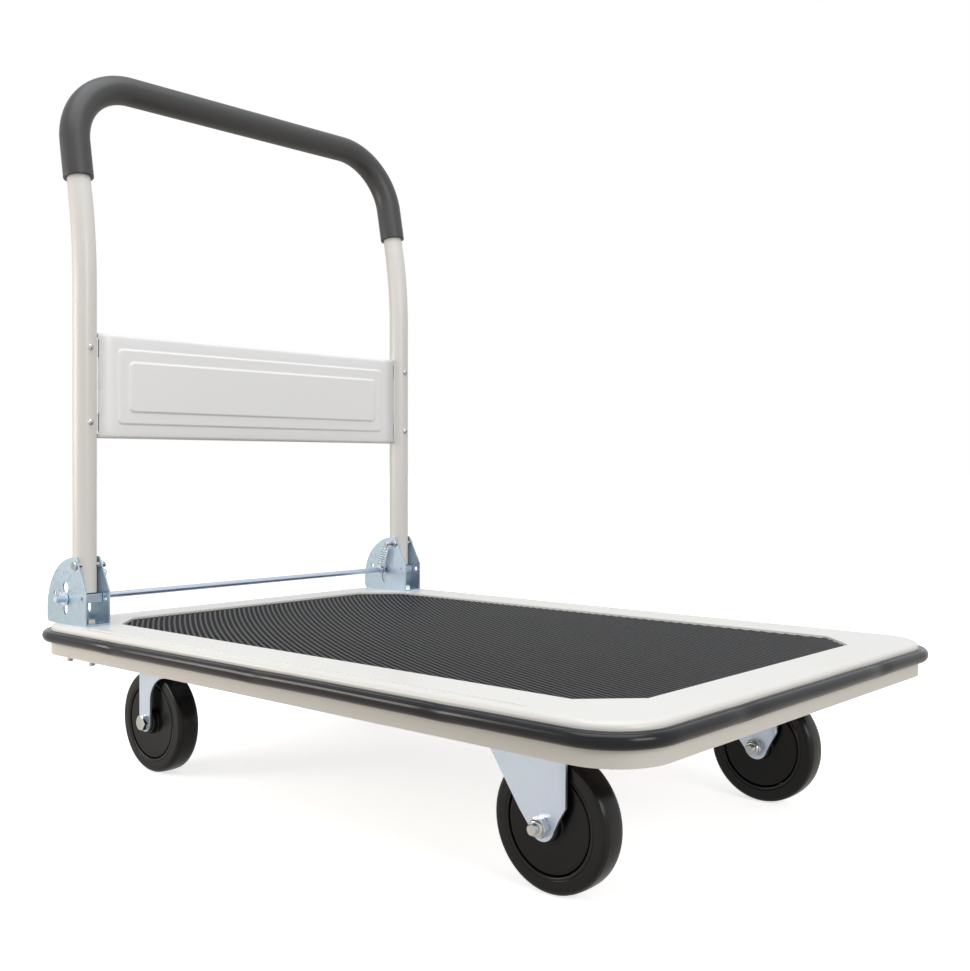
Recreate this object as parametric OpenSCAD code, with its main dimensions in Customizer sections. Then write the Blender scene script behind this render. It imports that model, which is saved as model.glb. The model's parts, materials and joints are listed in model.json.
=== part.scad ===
// Folding platform cart: a pressed steel deck with a ribbed mat and a rubber bumper, on two
// rigid casters in front and two swivel casters behind. A tubular handle with a stiffening
// panel turns on pins in two brackets. A foot rod on springs drops the lock plates from under
// the handle's legs, and the handle folds forward over the deck.
// Millimetres. X points forward, away from the handle, Y to the cart's left, Z up from the floor.

/* [Deck] */
// Length over the deck's skirt
deck_length = 890; // [700:5:1100]
// Width over the deck's skirt
deck_width = 600; // [480:5:740]
// Plan radius of the deck's corners
deck_corner = 55; // [45:1:80]
// Height of the pressed skirt
skirt_depth = 36; // [28:1:48]
// Thickness of the deck's sheet steel
deck_sheet = 1.5; // [1:0.1:2.5]
// Radius pressed along the deck's top edge
edge_radius = 6; // [3:0.5:10]
// Width of the skirt's return flange
return_flange = 12; // [8:1:14]
// Depth of the pressed recess that holds the mat
recess_depth = 5; // [3:0.5:8]
// Rim between the skirt and the mat at each end
rim_end = 54; // [40:1:80]
// Rim between the skirt and the mat along each side
rim_side = 61; // [55:1:80]

/* [Mat] */
// Corner cut of the mat and of its recess
mat_cut = 45; // [20:1:70]
// Thickness of the mat's base sheet
mat_base = 2.2; // [1.5:0.1:3]
// Height of the mat's ribs
rib_height = 0.8; // [0.4:0.1:1.5]
// Distance from one rib to the next
rib_pitch = 6.4; // [4:0.1:12]
// Width of a rib
rib_width = 2.4; // [1:0.1:5]

/* [Bumper] */
// Height of the rubber bumper strip
bumper_height = 14; // [10:1:20]
// How far the bumper stands out from the skirt
bumper_reach = 10.5; // [8:0.5:16]
// Height of the bumper's lower edge above the skirt's lower edge
bumper_lift = 15; // [8:1:20]

/* [Handle] */
// Height from the floor to the top of the grip
handle_height = 885; // [760:5:1050]
// Outside diameter of the handle tube
tube_diameter = 28.6; // [22:0.1:34]
// Wall of the handle tube
tube_wall = 1.5; // [1:0.1:2.5]
// Distance of the leg's axis from the deck's side
leg_inset = 31.4; // [28:0.2:44]
// Distance of the leg's axis from the deck's rear end
leg_setback = 64; // [58:1:90]
// Height of the leg's open lower end above the deck
leg_lift = 39; // [34:1:46]
// Angle by which the handle's upper part leans back
handle_lean = 10.5; // [0.5:0.5:20]
// Height of the lean's bend below the top of the grip
bend_drop = 226; // [190:1:260]
// Bending radius where the legs start to lean
bend_radius = 640; // [300:10:700]
// Bending radius of the two top corners
corner_radius = 86; // [60:1:110]
// Outside diameter of the foam grip
grip_diameter = 36.6; // [30:0.2:44]
// Straight length of grip below each top corner
grip_tail = 48; // [20:1:60]

/* [Handle panel] */
// Height of the panel's lower edge above the deck
panel_lift = 228; // [120:1:300]
// Height of the panel
panel_height = 130.5; // [80:0.5:160]
// Thickness of the panel's sheet
panel_sheet = 1.2; // [0.8:0.1:2]
// Radius of the panel's rolled edges
roll_radius = 4.5; // [3:0.1:7]
// Distance of the panel's front face ahead of the legs' axes
panel_forward = 5; // [2:0.5:7]
// Height of each embossed step in the panel
emboss_step = 1.5; // [0.5:0.1:2]

/* [Hinge bracket] */
// Thickness of the bracket's plate
bracket_plate = 2; // [1.5:0.1:3]
// Side play of the leg between the bracket's cheeks
leg_play = 0.3; // [0.2:0.1:2]
// Height of the pivot above the deck
pivot_height = 72.5; // [66:0.5:84]
// Distance of the pivot ahead of the leg's axis
pivot_lead = 7; // [0:0.5:8]
// Diameter of the pivot pin
pivot_diameter = 8; // [6:0.1:10]
// Radius of the bracket's rear arc
bracket_radius = 65; // [55:1:72]

/* [Foot release] */
// Diameter of the foot rod
rod_diameter = 8; // [6:0.1:10]
// Distance of the rod behind the pivot
rod_back = 23; // [20:0.5:28]
// Height of the rod's axis below the pivot
rod_drop = 41.5; // [38:0.5:46]
// Travel of the rod when the foot presses it
rod_travel = 14; // [8:1:15]
// Outside diameter of the return springs
spring_diameter = 15; // [12:0.5:18]
// Diameter of the return springs' wire
spring_wire = 1.6; // [1.2:0.1:2]

/* [Casters] */
// Diameter of the wheels
wheel_diameter = 127; // [100:1:160]
// Width of the tyres
tyre_width = 28.6; // [22:0.2:36]
// Diameter of the hub under the tyre
hub_diameter = 91.6; // [70:0.2:110]
// Height of the caster's mounting plate above the top of the wheel
caster_headroom = 33; // [31:1:45]
// Distance of the wheel's middle plane from the deck's side
caster_inset = 107.5; // [95:0.5:130]
// Distance of the rigid axles from the deck's front end
rigid_setback = 151; // [130:1:190]
// Distance of the kingpins from the deck's rear end
kingpin_setback = 147; // [130:1:190]
// Trail of a swivel wheel behind its kingpin
caster_trail = 35; // [28:1:45]
// Thickness of the pressed fork legs
fork_plate = 3; // [2:0.1:4]
// Gap between the tyre and a fork leg
fork_gap = 5.7; // [4:0.1:8]
// Diameter of the axle bolts
axle_diameter = 10; // [8:0.5:12]

/* [Hidden] */
$fn = 96;
// Radial clearances: a shaft that turns, a part that is clamped, a bolt in its hole.
running_gap = 0.05;
seat_gap = 0.05;
bolt_gap = 0.5;
// Sizes across the flats and heads of the fasteners.
hex_across = 13;
hex_height = 5.3;
bolt_radius = 4;
axle_across = 17;
axle_head = 6.4;
axle_nut = 10;

// Lengths along the bent tube are cut to a hundredth of a millimetre.
function to_hundredth(length) = round(100 * length) / 100;

wheel_radius = wheel_diameter / 2;
caster_plate = 3;
plate_top = wheel_diameter + caster_headroom;
plate_under = plate_top - caster_plate;
bearer_depth = 19.5;
bearer_sheet = 2.5;
pan_under = plate_top + bearer_depth;
pan_top = pan_under + deck_sheet;
deck_top = pan_top + recess_depth;
skirt_low = deck_top - skirt_depth;
rim_under = deck_top - deck_sheet;

mat_x = deck_length / 2 - rim_end;
mat_y = deck_width / 2 - rim_side;
mat_play = 0.5;
mat_top = pan_top + mat_base + rib_height;
// The ribs are wide arcs about one point ahead of the deck's left front corner.
rib_centre = [1055, 1916];

tube_radius = tube_diameter / 2;
// Above its bends the tube is drawn down by a fifth of a millimetre.
top_radius = tube_radius - 0.2;
grip_radius = grip_diameter / 2;
leg_x = -(deck_length / 2 - leg_setback);
leg_y = deck_width / 2 - leg_inset;
leg_low = deck_top + leg_lift;
bend_z = handle_height - bend_drop;
bend_reach = to_hundredth(bend_radius * tan(handle_lean / 2));
bend_low = bend_z - bend_reach;
bar_reach = to_hundredth((bend_drop - grip_radius) / cos(handle_lean) - bend_reach);
corner_low = bar_reach - corner_radius;

panel_x = leg_x + panel_forward;
panel_low = deck_top + panel_lift;
panel_high = panel_low + panel_height;
panel_y = leg_y - tube_radius - 1;
panel_middle = (panel_low + panel_high) / 2;
screw_rise = panel_height / 2 - 19.5;
screw_radius = 2.1;
tongue_height = 22;

cheek_gap = tube_diameter + 2 * leg_play;
bracket_y = cheek_gap / 2 + bracket_plate;
pivot_x = leg_x + pivot_lead;
pivot_z = deck_top + pivot_height;
pivot_radius = pivot_diameter / 2;
bracket_rear = pivot_x - 67;
bracket_front = pivot_x + 24;
bracket_top = pivot_z + 10;
bracket_shoulder = pivot_z - 31;
bracket_bolt_x = [pivot_x - 42, pivot_x + 10];
bracket_corner = 6;

rod_radius = rod_diameter / 2;
rod_x = pivot_x - rod_back;
rod_z = pivot_z - rod_drop;
rod_end = leg_y + bracket_y + 14;
slot_half = rod_radius + 0.5;
slot_low = rod_z - rod_travel;
lock_sheet = 2.5;
lock_lip = 10.5;
cotter_radius = 1.2;
cotter_y = rod_end - 5;

wire_radius = spring_wire / 2;
stud_radius = 2;
eye_gap = 0.4;
spring_y = leg_y - bracket_y - spring_diameter / 2 - 0.5;
spring_stud = [pivot_x - 8, pivot_z - 1];

axle_z = wheel_radius;
axle_radius = axle_diameter / 2;
hub_radius = hub_diameter / 2;
sleeve_radius = axle_radius + 3;
fork_in = tyre_width / 2 + fork_gap;
fork_out = fork_in + fork_plate;
caster_y = deck_width / 2 - caster_inset;
rigid_x = deck_length / 2 - rigid_setback;
rigid_plate_x = rigid_x - 0.33 * wheel_radius;
kingpin_x = -(deck_length / 2 - kingpin_setback);
swivel_axle_x = kingpin_x - caster_trail;
plate_half = [55, 42.5];
plate_bolt = [42, 32];
kingpin_radius = 6;
crown_drop = 7.5;
crown_top = plate_under - crown_drop;
crown_low = crown_top - fork_plate;
ball_radius = 3;
ball_ring = 18;
ball_count = 14;
bearer_half = 60;
bearer_flange = 15;

paint = [0.89, 0.88, 0.85];
zinc = [0.72, 0.78, 0.84];
rubber_grey = [0.16, 0.16, 0.18];
rubber_black = [0.07, 0.07, 0.07];
plastic_black = [0.1, 0.1, 0.1];
foam_grey = [0.27, 0.27, 0.28];
steel = [0.6, 0.6, 0.62];

// ---- Shared shapes ----

// Rectangle of half sizes x and y with true round corners.
module round_rectangle(x, y, r) {
  square([2 * (x - r), 2 * y], center = true);
  square([2 * x, 2 * (y - r)], center = true);
  for (a = [-1, 1], b = [-1, 1])
    translate([a * (x - r), b * (y - r)]) circle(r);
}

// The deck's outline, moved inwards.
module deck_outline(inset) {
  round_rectangle(deck_length / 2 - inset, deck_width / 2 - inset, deck_corner - inset);
}

// The mat's outline with its four cut corners, moved outwards.
module mat_outline(grow) {
  x = mat_x + grow;
  y = mat_y + grow;
  c = mat_cut + grow * (2 - sqrt(2));
  polygon([[x, c - y], [x, y - c], [x - c, y], [c - x, y],
           [-x, y - c], [-x, c - y], [c - x, -y], [x - c, -y]]);
}

// Sweeps a section round the deck: section x is the distance outside the skirt, y the height.
module around_deck() {
  corner_x = deck_length / 2 - deck_corner;
  corner_y = deck_width / 2 - deck_corner;
  for (end = [0, 1]) {
    rotate([0, 0, 180 * end]) translate([deck_length / 2, corner_y, 0])
      rotate([90, 0, 0]) linear_extrude(2 * corner_y) children();
    rotate([0, 0, 180 * end + 90]) translate([deck_width / 2, corner_x, 0])
      rotate([90, 0, 0]) linear_extrude(2 * corner_x) children();
    rotate([0, 0, 180 * end]) translate([corner_x, corner_y, 0])
      rotate_extrude(angle = 90) translate([deck_corner, 0]) children();
    rotate([0, 0, 180 * end]) translate([-corner_x, corner_y, 0])
      rotate([0, 0, 90]) rotate_extrude(angle = 90) translate([deck_corner, 0]) children();
  }
}

// Stands an X-Z outline up as a plate from y to y + thick.
module upright(y, thick) {
  translate([0, y + thick, 0]) rotate([90, 0, 0]) linear_extrude(thick) children();
}

// Stands a Y-Z outline up as a plate from x to x + thick.
module crosswise(x, thick) {
  translate([x, 0, 0]) rotate([90, 0, 90]) linear_extrude(thick) children();
}

// Cylinder along Y from y to y + length.
module rod_y(x, y, z, radius, length) {
  translate([x, y + length, z]) rotate([90, 0, 0]) cylinder(r = radius, h = length);
}

// Hexagonal prism along Y from y to y + length.
module hex_y(x, y, z, across, length) {
  translate([x, y + length, z]) rotate([90, 0, 0])
    cylinder(r = across / sqrt(3), h = length, $fn = 6);
}

// Hexagonal prism standing at z.
module hex_z(across, height) {
  cylinder(r = across / sqrt(3), h = height, $fn = 6);
}

// Puts a part on both sides of the cart.
module both_sides() {
  children();
  mirror([0, 1, 0]) children();
}

// ---- Deck ----

module rim_section() {
  low = skirt_low;
  translate([-deck_sheet, low]) square([deck_sheet, skirt_depth - edge_radius]);
  translate([-return_flange, low]) square([return_flange, deck_sheet]);
  translate([-edge_radius, deck_top - edge_radius]) intersection() {
    difference() {
      circle(edge_radius);
      circle(edge_radius - deck_sheet);
    }
    square(edge_radius);
  }
  translate([-return_flange, rim_under]) square([return_flange - edge_radius, deck_sheet]);
}

// Stiffening bead pressed up along the rim beside the mat.
module rim_bead(half_width, low, height) {
  half_length = mat_x - mat_cut - 14;
  translate([0, deck_width / 2 - 14, low]) linear_extrude(height) {
    square([2 * half_length, 2 * half_width], center = true);
    for (end = [-1, 1]) translate([end * half_length, 0]) circle(half_width);
  }
}

module deck_shell() {
  bead_rise = 1;
  color(paint) difference() {
    union() {
      around_deck() rim_section();
      translate([0, 0, rim_under]) linear_extrude(deck_sheet) difference() {
        deck_outline(return_flange);
        mat_outline(mat_play);
      }
      translate([0, 0, pan_under]) linear_extrude(recess_depth + deck_sheet) difference() {
        mat_outline(mat_play + deck_sheet);
        mat_outline(mat_play);
      }
      translate([0, 0, pan_under]) linear_extrude(deck_sheet) mat_outline(mat_play);
      both_sides() rim_bead(3, rim_under, deck_sheet + bead_rise);
    }
    both_sides() rim_bead(1.8, rim_under - 1, deck_sheet + bead_rise);
    both_sides() bracket_bolt_places()
      translate([0, 0, rim_under - 1]) cylinder(r = bolt_radius + bolt_gap, h = deck_sheet + 2);
  }
}

// Hat-section channel along X, lying on its closed face at z = 0.
module hat_channel(length, half, depth, sheet, flange) {
  rotate([90, 0, 90]) translate([0, 0, -length / 2]) linear_extrude(length) {
    translate([-half, 0]) square([2 * half, sheet]);
    for (side = [-1, 1]) {
      translate([side * (half - sheet / 2) - sheet / 2, 0]) square([sheet, depth]);
      translate([side * (half + flange / 2) - flange / 2, depth - sheet])
        square([flange, sheet]);
    }
  }
}

// Channel across the deck that carries two casters.
module bearer(x) {
  color(paint) difference() {
    translate([x, 0, plate_top]) rotate([0, 0, 90])
      hat_channel(2 * mat_y - 6, bearer_half, bearer_depth, bearer_sheet, bearer_flange);
    both_sides() caster_bolt_places(x)
      translate([0, 0, plate_top - 1]) cylinder(r = bolt_radius + bolt_gap, h = bearer_sheet + 2);
    both_sides() translate([x, caster_y, plate_top - 1]) cylinder(r = 16, h = bearer_sheet + 2);
  }
}

module bearer_front() { bearer(rigid_plate_x); }
module bearer_rear() { bearer(kingpin_x); }

module stringer_left() {
  depth = 14;
  rear = kingpin_x + bearer_half + bearer_flange + 4;
  front = rigid_plate_x - bearer_half - bearer_flange - 4;
  color(paint) translate([(rear + front) / 2, mat_y * 0.46, pan_under - depth])
    hat_channel(front - rear, 25, depth, deck_sheet, 12);
}
module stringer_right() { mirror([0, 1, 0]) stringer_left(); }

module deck_mat() {
  near = norm(rib_centre - [mat_x, mat_y]);
  far = norm(rib_centre + [mat_x, mat_y]);
  color(rubber_black) {
    translate([0, 0, pan_top]) linear_extrude(mat_base) mat_outline(0);
    translate([0, 0, pan_top + mat_base]) linear_extrude(rib_height) intersection() {
      mat_outline(0);
      translate(rib_centre) for (r = [near - rib_pitch : rib_pitch : far])
        difference() {
          circle(r + rib_width / 2);
          circle(r - rib_width / 2);
        }
    }
  }
}

module bumper_section() {
  half = bumper_height / 2;
  flat = bumper_reach - half;
  translate([0, skirt_low + bumper_lift]) {
    square([flat, bumper_height]);
    translate([flat, half]) intersection() {
      circle(half);
      translate([0, -half]) square([half, bumper_height]);
    }
  }
}

module bumper() { color(rubber_grey) around_deck() bumper_section(); }

// ---- Hinge brackets ----

module bracket_bolt_places() {
  for (x = bracket_bolt_x) translate([x, leg_y, 0]) children();
}

module cheek_outline() {
  arc_x = bracket_rear + bracket_radius;
  arc_z = bracket_top - bracket_radius;
  low = deck_top;
  translate([bracket_rear + bracket_corner, low])
    square([bracket_front - bracket_rear - bracket_corner, arc_z - low]);
  translate([bracket_rear, low + bracket_corner])
    square([bracket_corner, arc_z - low - bracket_corner]);
  translate([bracket_rear + bracket_corner, low + bracket_corner]) circle(bracket_corner);
  intersection() {
    translate([arc_x, arc_z]) circle(bracket_radius);
    translate([bracket_rear, arc_z]) square([bracket_radius, bracket_radius]);
  }
  polygon([[arc_x, arc_z], [bracket_front, arc_z], [bracket_front, bracket_shoulder],
           [pivot_x + 1, bracket_top], [arc_x, bracket_top]]);
}

// Slot that guides the foot rod, with side notches to pass its cotter pin and a round head.
module rod_slot() {
  head_z = rod_z + 14;
  tip = slot_half + 2;
  translate([rod_x, slot_low]) {
    circle(slot_half);
    translate([-slot_half, 0]) square([2 * slot_half, head_z - slot_low]);
    polygon([[-slot_half * 0.7, -slot_half * 0.7], [0, -tip], [slot_half * 0.7, -slot_half * 0.7]]);
  }
  translate([rod_x, head_z]) circle(slot_half + 2);
  translate([rod_x, rod_z]) polygon([[-8.5, 0], [0, 5], [8.5, 0], [0, -5]]);
}

module cheek_holes() {
  for (place = [[pivot_x - 49, pivot_z - 36.5], [pivot_x + 16, pivot_z - 40]])
    translate(place) circle(3);
}

module hinge_bracket_left() {
  inner = leg_y - bracket_y;
  color(zinc) difference() {
    union() {
      for (y = [inner, leg_y + bracket_y - bracket_plate])
        upright(y, bracket_plate) difference() {
          cheek_outline();
          rod_slot();
          cheek_holes();
          translate([pivot_x, pivot_z]) circle(pivot_radius + seat_gap);
        }
      translate([bracket_rear + bracket_corner, inner, deck_top])
        cube([bracket_front - bracket_rear - bracket_corner, 2 * bracket_y, bracket_plate]);
    }
    bracket_bolt_places()
      translate([0, 0, deck_top - 1]) cylinder(r = bolt_radius + bolt_gap, h = bracket_plate + 2);
    rod_y(spring_stud[0], inner - 1, spring_stud[1], stud_radius + seat_gap, bracket_plate + 2);
  }
}
module hinge_bracket_right() { mirror([0, 1, 0]) hinge_bracket_left(); }

// Box welded under the rim that takes the bracket bolts' pull down to the return flange.
module support_outline(inset) {
  intersection() {
    translate([bracket_rear, leg_y - bracket_y]) translate([inset, inset])
      square([bracket_front - bracket_rear - 2 * inset, 2 * bracket_y - 1 - 2 * inset]);
    deck_outline(return_flange + 1 + inset);
  }
}

module bracket_support_left() {
  sheet = 2;
  color(paint) translate([0, 0, skirt_low]) difference() {
    union() {
      linear_extrude(sheet) support_outline(0);
      linear_extrude(rim_under - skirt_low) difference() {
        support_outline(0);
        support_outline(sheet);
      }
    }
    bracket_bolt_places()
      translate([0, 0, -1]) cylinder(r = bolt_radius + bolt_gap, h = sheet + 2);
  }
}
module bracket_support_right() { mirror([0, 1, 0]) bracket_support_left(); }

module bracket_bolts() {
  head_low = deck_top + bracket_plate;
  tip = skirt_low - hex_height - 8;
  color(steel) both_sides() bracket_bolt_places() {
    translate([0, 0, head_low]) hex_z(hex_across, hex_height);
    translate([0, 0, tip]) cylinder(r = bolt_radius, h = head_low - tip);
  }
}

module bracket_nuts() {
  height = 6.5;
  color(steel) both_sides() bracket_bolt_places()
    translate([0, 0, skirt_low - height]) difference() {
      hex_z(hex_across, height);
      translate([0, 0, -1]) cylinder(r = bolt_radius + seat_gap, h = height + 2);
    }
}

module pivot_pins() {
  inner = leg_y - bracket_y;
  head = 2.5;
  head_radius = pivot_radius + 1.5;
  length = 2 * bracket_y + 2 * head;
  color(zinc) both_sides() {
    rod_y(pivot_x, inner - head, pivot_z, pivot_radius, length);
    rod_y(pivot_x, inner - head, pivot_z, head_radius, head);
    rod_y(pivot_x, leg_y + bracket_y, pivot_z, head_radius, head);
  }
}

// Headed studs on the brackets' inner faces that hold the springs' upper eyes.
module spring_studs() {
  inner = leg_y - bracket_y;
  reach = inner - spring_y + 2 * wire_radius;
  head = 1.4;
  color(zinc) both_sides() {
    rod_y(spring_stud[0], inner - reach, spring_stud[1], stud_radius, reach + bracket_plate);
    rod_y(spring_stud[0], inner - reach - head, spring_stud[1], stud_radius + 1.5, head);
  }
}

// ---- Handle ----

// Frame of the handle's leaning part: its Z runs along the lean from the end of the bend.
module lean_frame() {
  translate([leg_x - bend_radius, 0, bend_low]) rotate([0, -handle_lean, 0])
    translate([bend_radius, 0, 0]) children();
}

// The handle's top: two tails, two corners and the cross bar, as a hollow or solid section.
module handle_top(outer, inner, tail_low) {
  module ring() {
    difference() {
      circle(outer);
      circle(inner);
    }
  }
  lean_frame() {
    both_sides() {
      translate([0, leg_y, tail_low]) linear_extrude(corner_low - tail_low) ring();
      translate([0, leg_y - corner_radius, corner_low]) rotate([90, 0, 90])
        rotate_extrude(angle = 90) translate([corner_radius, 0]) ring();
    }
    translate([0, leg_y - corner_radius, bar_reach]) rotate([90, 0, 0])
      linear_extrude(2 * (leg_y - corner_radius)) ring();
  }
}

module handle_tube() {
  bore = tube_radius - tube_wall;
  // The top runs a little way into each bend.
  splice = 3;
  color(paint) difference() {
    union() {
      both_sides() translate([leg_x, leg_y, leg_low]) linear_extrude(bend_low - leg_low)
        difference() {
          circle(tube_radius);
          circle(bore);
        }
      both_sides() translate([leg_x - bend_radius, leg_y, bend_low]) rotate([90, 0, 0])
        rotate_extrude(angle = handle_lean) translate([bend_radius, 0]) difference() {
          circle(tube_radius);
          circle(bore);
        }
      handle_top(top_radius, top_radius - tube_wall, -splice);
    }
    both_sides() {
      rod_y(pivot_x, leg_y - tube_diameter, pivot_z, pivot_radius + running_gap, 2 * tube_diameter);
      for (rise = [-screw_rise, screw_rise]) {
        translate([panel_x - panel_sheet - 0.4, leg_y - tube_diameter,
                   panel_middle + rise - tongue_height / 2 - 0.5])
          cube([panel_sheet + 0.8, tube_diameter, tongue_height + 1]);
        translate([leg_x, leg_y, panel_middle + rise]) rotate([0, 90, 0])
          cylinder(r = screw_radius + seat_gap, h = tube_diameter);
      }
    }
  }
}

module handle_grip() {
  color(foam_grey) handle_top(grip_radius, top_radius + seat_gap, corner_low - grip_tail);
}

// Hollow roll along one long edge of the panel, open towards the back of the sheet.
module edge_roll(z, lip) {
  translate([panel_x - roll_radius, z]) difference() {
    circle(roll_radius);
    circle(roll_radius - panel_sheet);
    translate([-roll_radius, lip > 0 ? 0.8 : -roll_radius])
      square([roll_radius, roll_radius - 0.8]);
  }
}

// One embossed step: a sheet standing forward of the panel, with its side walls.
module emboss(y, z, forward) {
  radius = 6;
  translate([0, 0, panel_middle]) {
    crosswise(panel_x + forward - panel_sheet, panel_sheet) round_rectangle(y, z, radius);
    crosswise(panel_x + forward - emboss_step - panel_sheet, emboss_step + panel_sheet)
      difference() {
        round_rectangle(y, z, radius);
        round_rectangle(y - panel_sheet, z - panel_sheet, radius - panel_sheet);
      }
  }
}

module handle_panel() {
  outer = [panel_y - 28, panel_height / 2 - 18.5];
  inner = [outer[0] - 15, outer[1] - 15.5];
  radius = 5;
  back = panel_x - panel_sheet;
  color(paint) {
    difference() {
      translate([back, -panel_y, panel_low + roll_radius])
        cube([panel_sheet, 2 * panel_y, panel_height - 2 * roll_radius]);
      translate([0, 0, panel_middle])
        crosswise(back - 1, panel_sheet + 2) round_rectangle(outer[0] - 1, outer[1] - 1, radius);
    }
    difference() {
      emboss(outer[0], outer[1], emboss_step);
      translate([0, 0, panel_middle])
        crosswise(panel_x - 1, 4) round_rectangle(inner[0] - 1, inner[1] - 1, radius);
    }
    emboss(inner[0], inner[1], 2 * emboss_step);
    upright(-panel_y, 2 * panel_y) edge_roll(panel_low + roll_radius, 1);
    upright(-panel_y, 2 * panel_y) edge_roll(panel_high - roll_radius, -1);
    both_sides() for (rise = [-screw_rise, screw_rise]) difference() {
      translate([back, panel_y - 1, panel_middle + rise - tongue_height / 2])
        cube([panel_sheet, leg_y + 6 - panel_y, tongue_height]);
      translate([back - 1, leg_y, panel_middle + rise]) rotate([0, 90, 0])
        cylinder(r = screw_radius + seat_gap, h = panel_sheet + 2);
    }
  }
}

module panel_screws() {
  head = 2.4;
  face = leg_x + tube_radius;
  color(steel) both_sides() for (rise = [-screw_rise, screw_rise])
    translate([0, leg_y, panel_middle + rise]) rotate([0, 90, 0]) {
      translate([0, 0, panel_x - 5]) cylinder(r = screw_radius, h = face - panel_x + 5);
      translate([0, 0, face]) cylinder(r1 = 3.9, r2 = 3.1, h = head);
    }
}

// ---- Foot release ----

module release_rod() {
  color(zinc) difference() {
    rod_y(rod_x, -rod_end, rod_z, rod_radius, 2 * rod_end);
    both_sides() translate([rod_x, cotter_y, rod_z - rod_diameter])
      cylinder(r = cotter_radius + seat_gap, h = 2 * rod_diameter);
  }
}

// Plate on the rod, right under the leg's open end, with a lip turned down in front.
module lock_plate_left() {
  half = cheek_gap / 2 - 0.4;
  rear = rod_x - rod_radius - 3;
  front = pivot_x + 9.5;
  low = rod_z + rod_radius;
  color(zinc) translate([0, leg_y - half, 0]) {
    translate([rear, 0, low]) cube([front - rear, 2 * half, lock_sheet]);
    translate([front - lock_sheet, 0, low + lock_sheet - lock_lip])
      cube([lock_sheet, 2 * half, lock_lip]);
  }
}
module lock_plate_right() { mirror([0, 1, 0]) lock_plate_left(); }

// Rings fast on the rod that keep each spring's lower eye in its place.
module spring_collars() {
  width = 2.5;
  color(zinc) both_sides() for (y = [spring_y - spring_wire - width, spring_y + spring_wire])
    upright(y, width) translate([rod_x, rod_z]) difference() {
      circle(rod_radius + 2.5);
      circle(rod_radius + seat_gap);
    }
}

module rod_washers() {
  color(zinc) both_sides() translate([0, leg_y + bracket_y + 0.4, 0]) upright(0, 1.6)
    translate([rod_x, rod_z]) difference() {
      circle(rod_radius + 4.5);
      circle(rod_radius + seat_gap);
    }
}

module rod_cotters() {
  color(steel) both_sides() translate([rod_x, cotter_y, rod_z]) {
    translate([0, 0, -rod_radius - 3]) cylinder(r = cotter_radius, h = rod_diameter + 5);
    translate([0, 0, rod_radius + 4.2]) rotate([0, 90, 0])
      rotate_extrude() translate([2.9, 0]) circle(cotter_radius);
  }
}

// Extension spring from the bracket's stud down to the rod, with an eye round each.
module spring_left() {
  foot = [rod_x, rod_z];
  span = norm(spring_stud - foot);
  slope = atan2(spring_stud[0] - foot[0], spring_stud[1] - foot[1]);
  low_eye = rod_radius + eye_gap + wire_radius;
  high_eye = stud_radius + eye_gap + wire_radius;
  coil_ring = spring_diameter / 2 - wire_radius;
  pitch = spring_wire * 0.88;
  turns = floor((span - low_eye - high_eye - 2 * spring_wire) / pitch);
  first = low_eye + (span - low_eye - high_eye - (turns - 1) * pitch) / 2;
  last = first + (turns - 1) * pitch;
  color(steel) translate([foot[0], spring_y, foot[1]]) rotate([0, slope, 0]) {
    rotate_extrude() {
      for (turn = [0 : turns - 1])
        translate([coil_ring, first + turn * pitch]) circle(wire_radius);
      for (z = [first, last])
        translate([0, z - wire_radius / 2]) square([coil_ring, wire_radius]);
      translate([0, low_eye]) square([wire_radius, span - low_eye - high_eye]);
    }
    for (eye = [[0, low_eye], [span, high_eye]]) translate([0, 0, eye[0]]) rotate([90, 0, 0])
      rotate_extrude() translate([eye[1], 0]) circle(wire_radius);
  }
}
module spring_right() { mirror([0, 1, 0]) spring_left(); }

// ---- Casters ----

module caster_bolt_places(x) {
  for (a = [-1, 1], b = [-1, 1])
    translate([x + a * plate_bolt[0], caster_y + b * plate_bolt[1], 0]) children();
}

module mounting_plate(x) {
  translate([0, 0, plate_under]) linear_extrude(caster_plate) difference() {
    translate([x, caster_y]) round_rectangle(plate_half[0], plate_half[1], 8);
    for (a = [-1, 1], b = [-1, 1])
      translate([x + a * plate_bolt[0], caster_y + b * plate_bolt[1]])
        circle(bolt_radius + bolt_gap);
  }
}

// Side view of a rigid fork's leg, about the axle: a tapering leg with a wing behind.
module rigid_leg_side() {
  tip = 13.5;
  rise = plate_under - axle_z;
  wing = 1.13 * wheel_radius;
  fold = 0.4 * wheel_radius;
  circle(tip);
  polygon([[-wing, rise], [-wing, 0.95 * wheel_radius], [-fold, 0.17 * wheel_radius],
           [-0.95 * tip, -0.3 * tip], [0, -0.8 * tip], [0.88 * tip, -0.4 * tip],
           [24.5, 0.3 * wheel_radius], [25, rise]]);
}

// The same leg from above: its wing and its front edge are folded in towards the wheel.
module rigid_leg_plan() {
  wing = 1.13 * wheel_radius + 1;
  fold = 0.4 * wheel_radius;
  turn = (fork_gap - 0.8) / (0.36 * wheel_radius);
  inward = (wing - fold) * turn;
  edge = 19;
  edge_in = 3;
  polygon([[-wing, fork_in - inward], [-fold, fork_in], [edge, fork_in], [26, fork_in - edge_in],
           [26, fork_out - edge_in], [edge, fork_out], [-fold, fork_out],
           [-wing, fork_out - inward]]);
}

module rigid_fork_left() {
  color(zinc) {
    mounting_plate(rigid_plate_x);
    for (side = [-1, 1]) translate([rigid_x, caster_y, 0]) difference() {
      intersection() {
        scale([1, side, 1]) linear_extrude(plate_under) rigid_leg_plan();
        upright(-50, 100) translate([0, axle_z]) rigid_leg_side();
      }
      rod_y(0, -50, axle_z, axle_radius + seat_gap, 100);
    }
  }
}
module rigid_fork_right() { translate([0, -2 * caster_y, 0]) rigid_fork_left(); }

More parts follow.
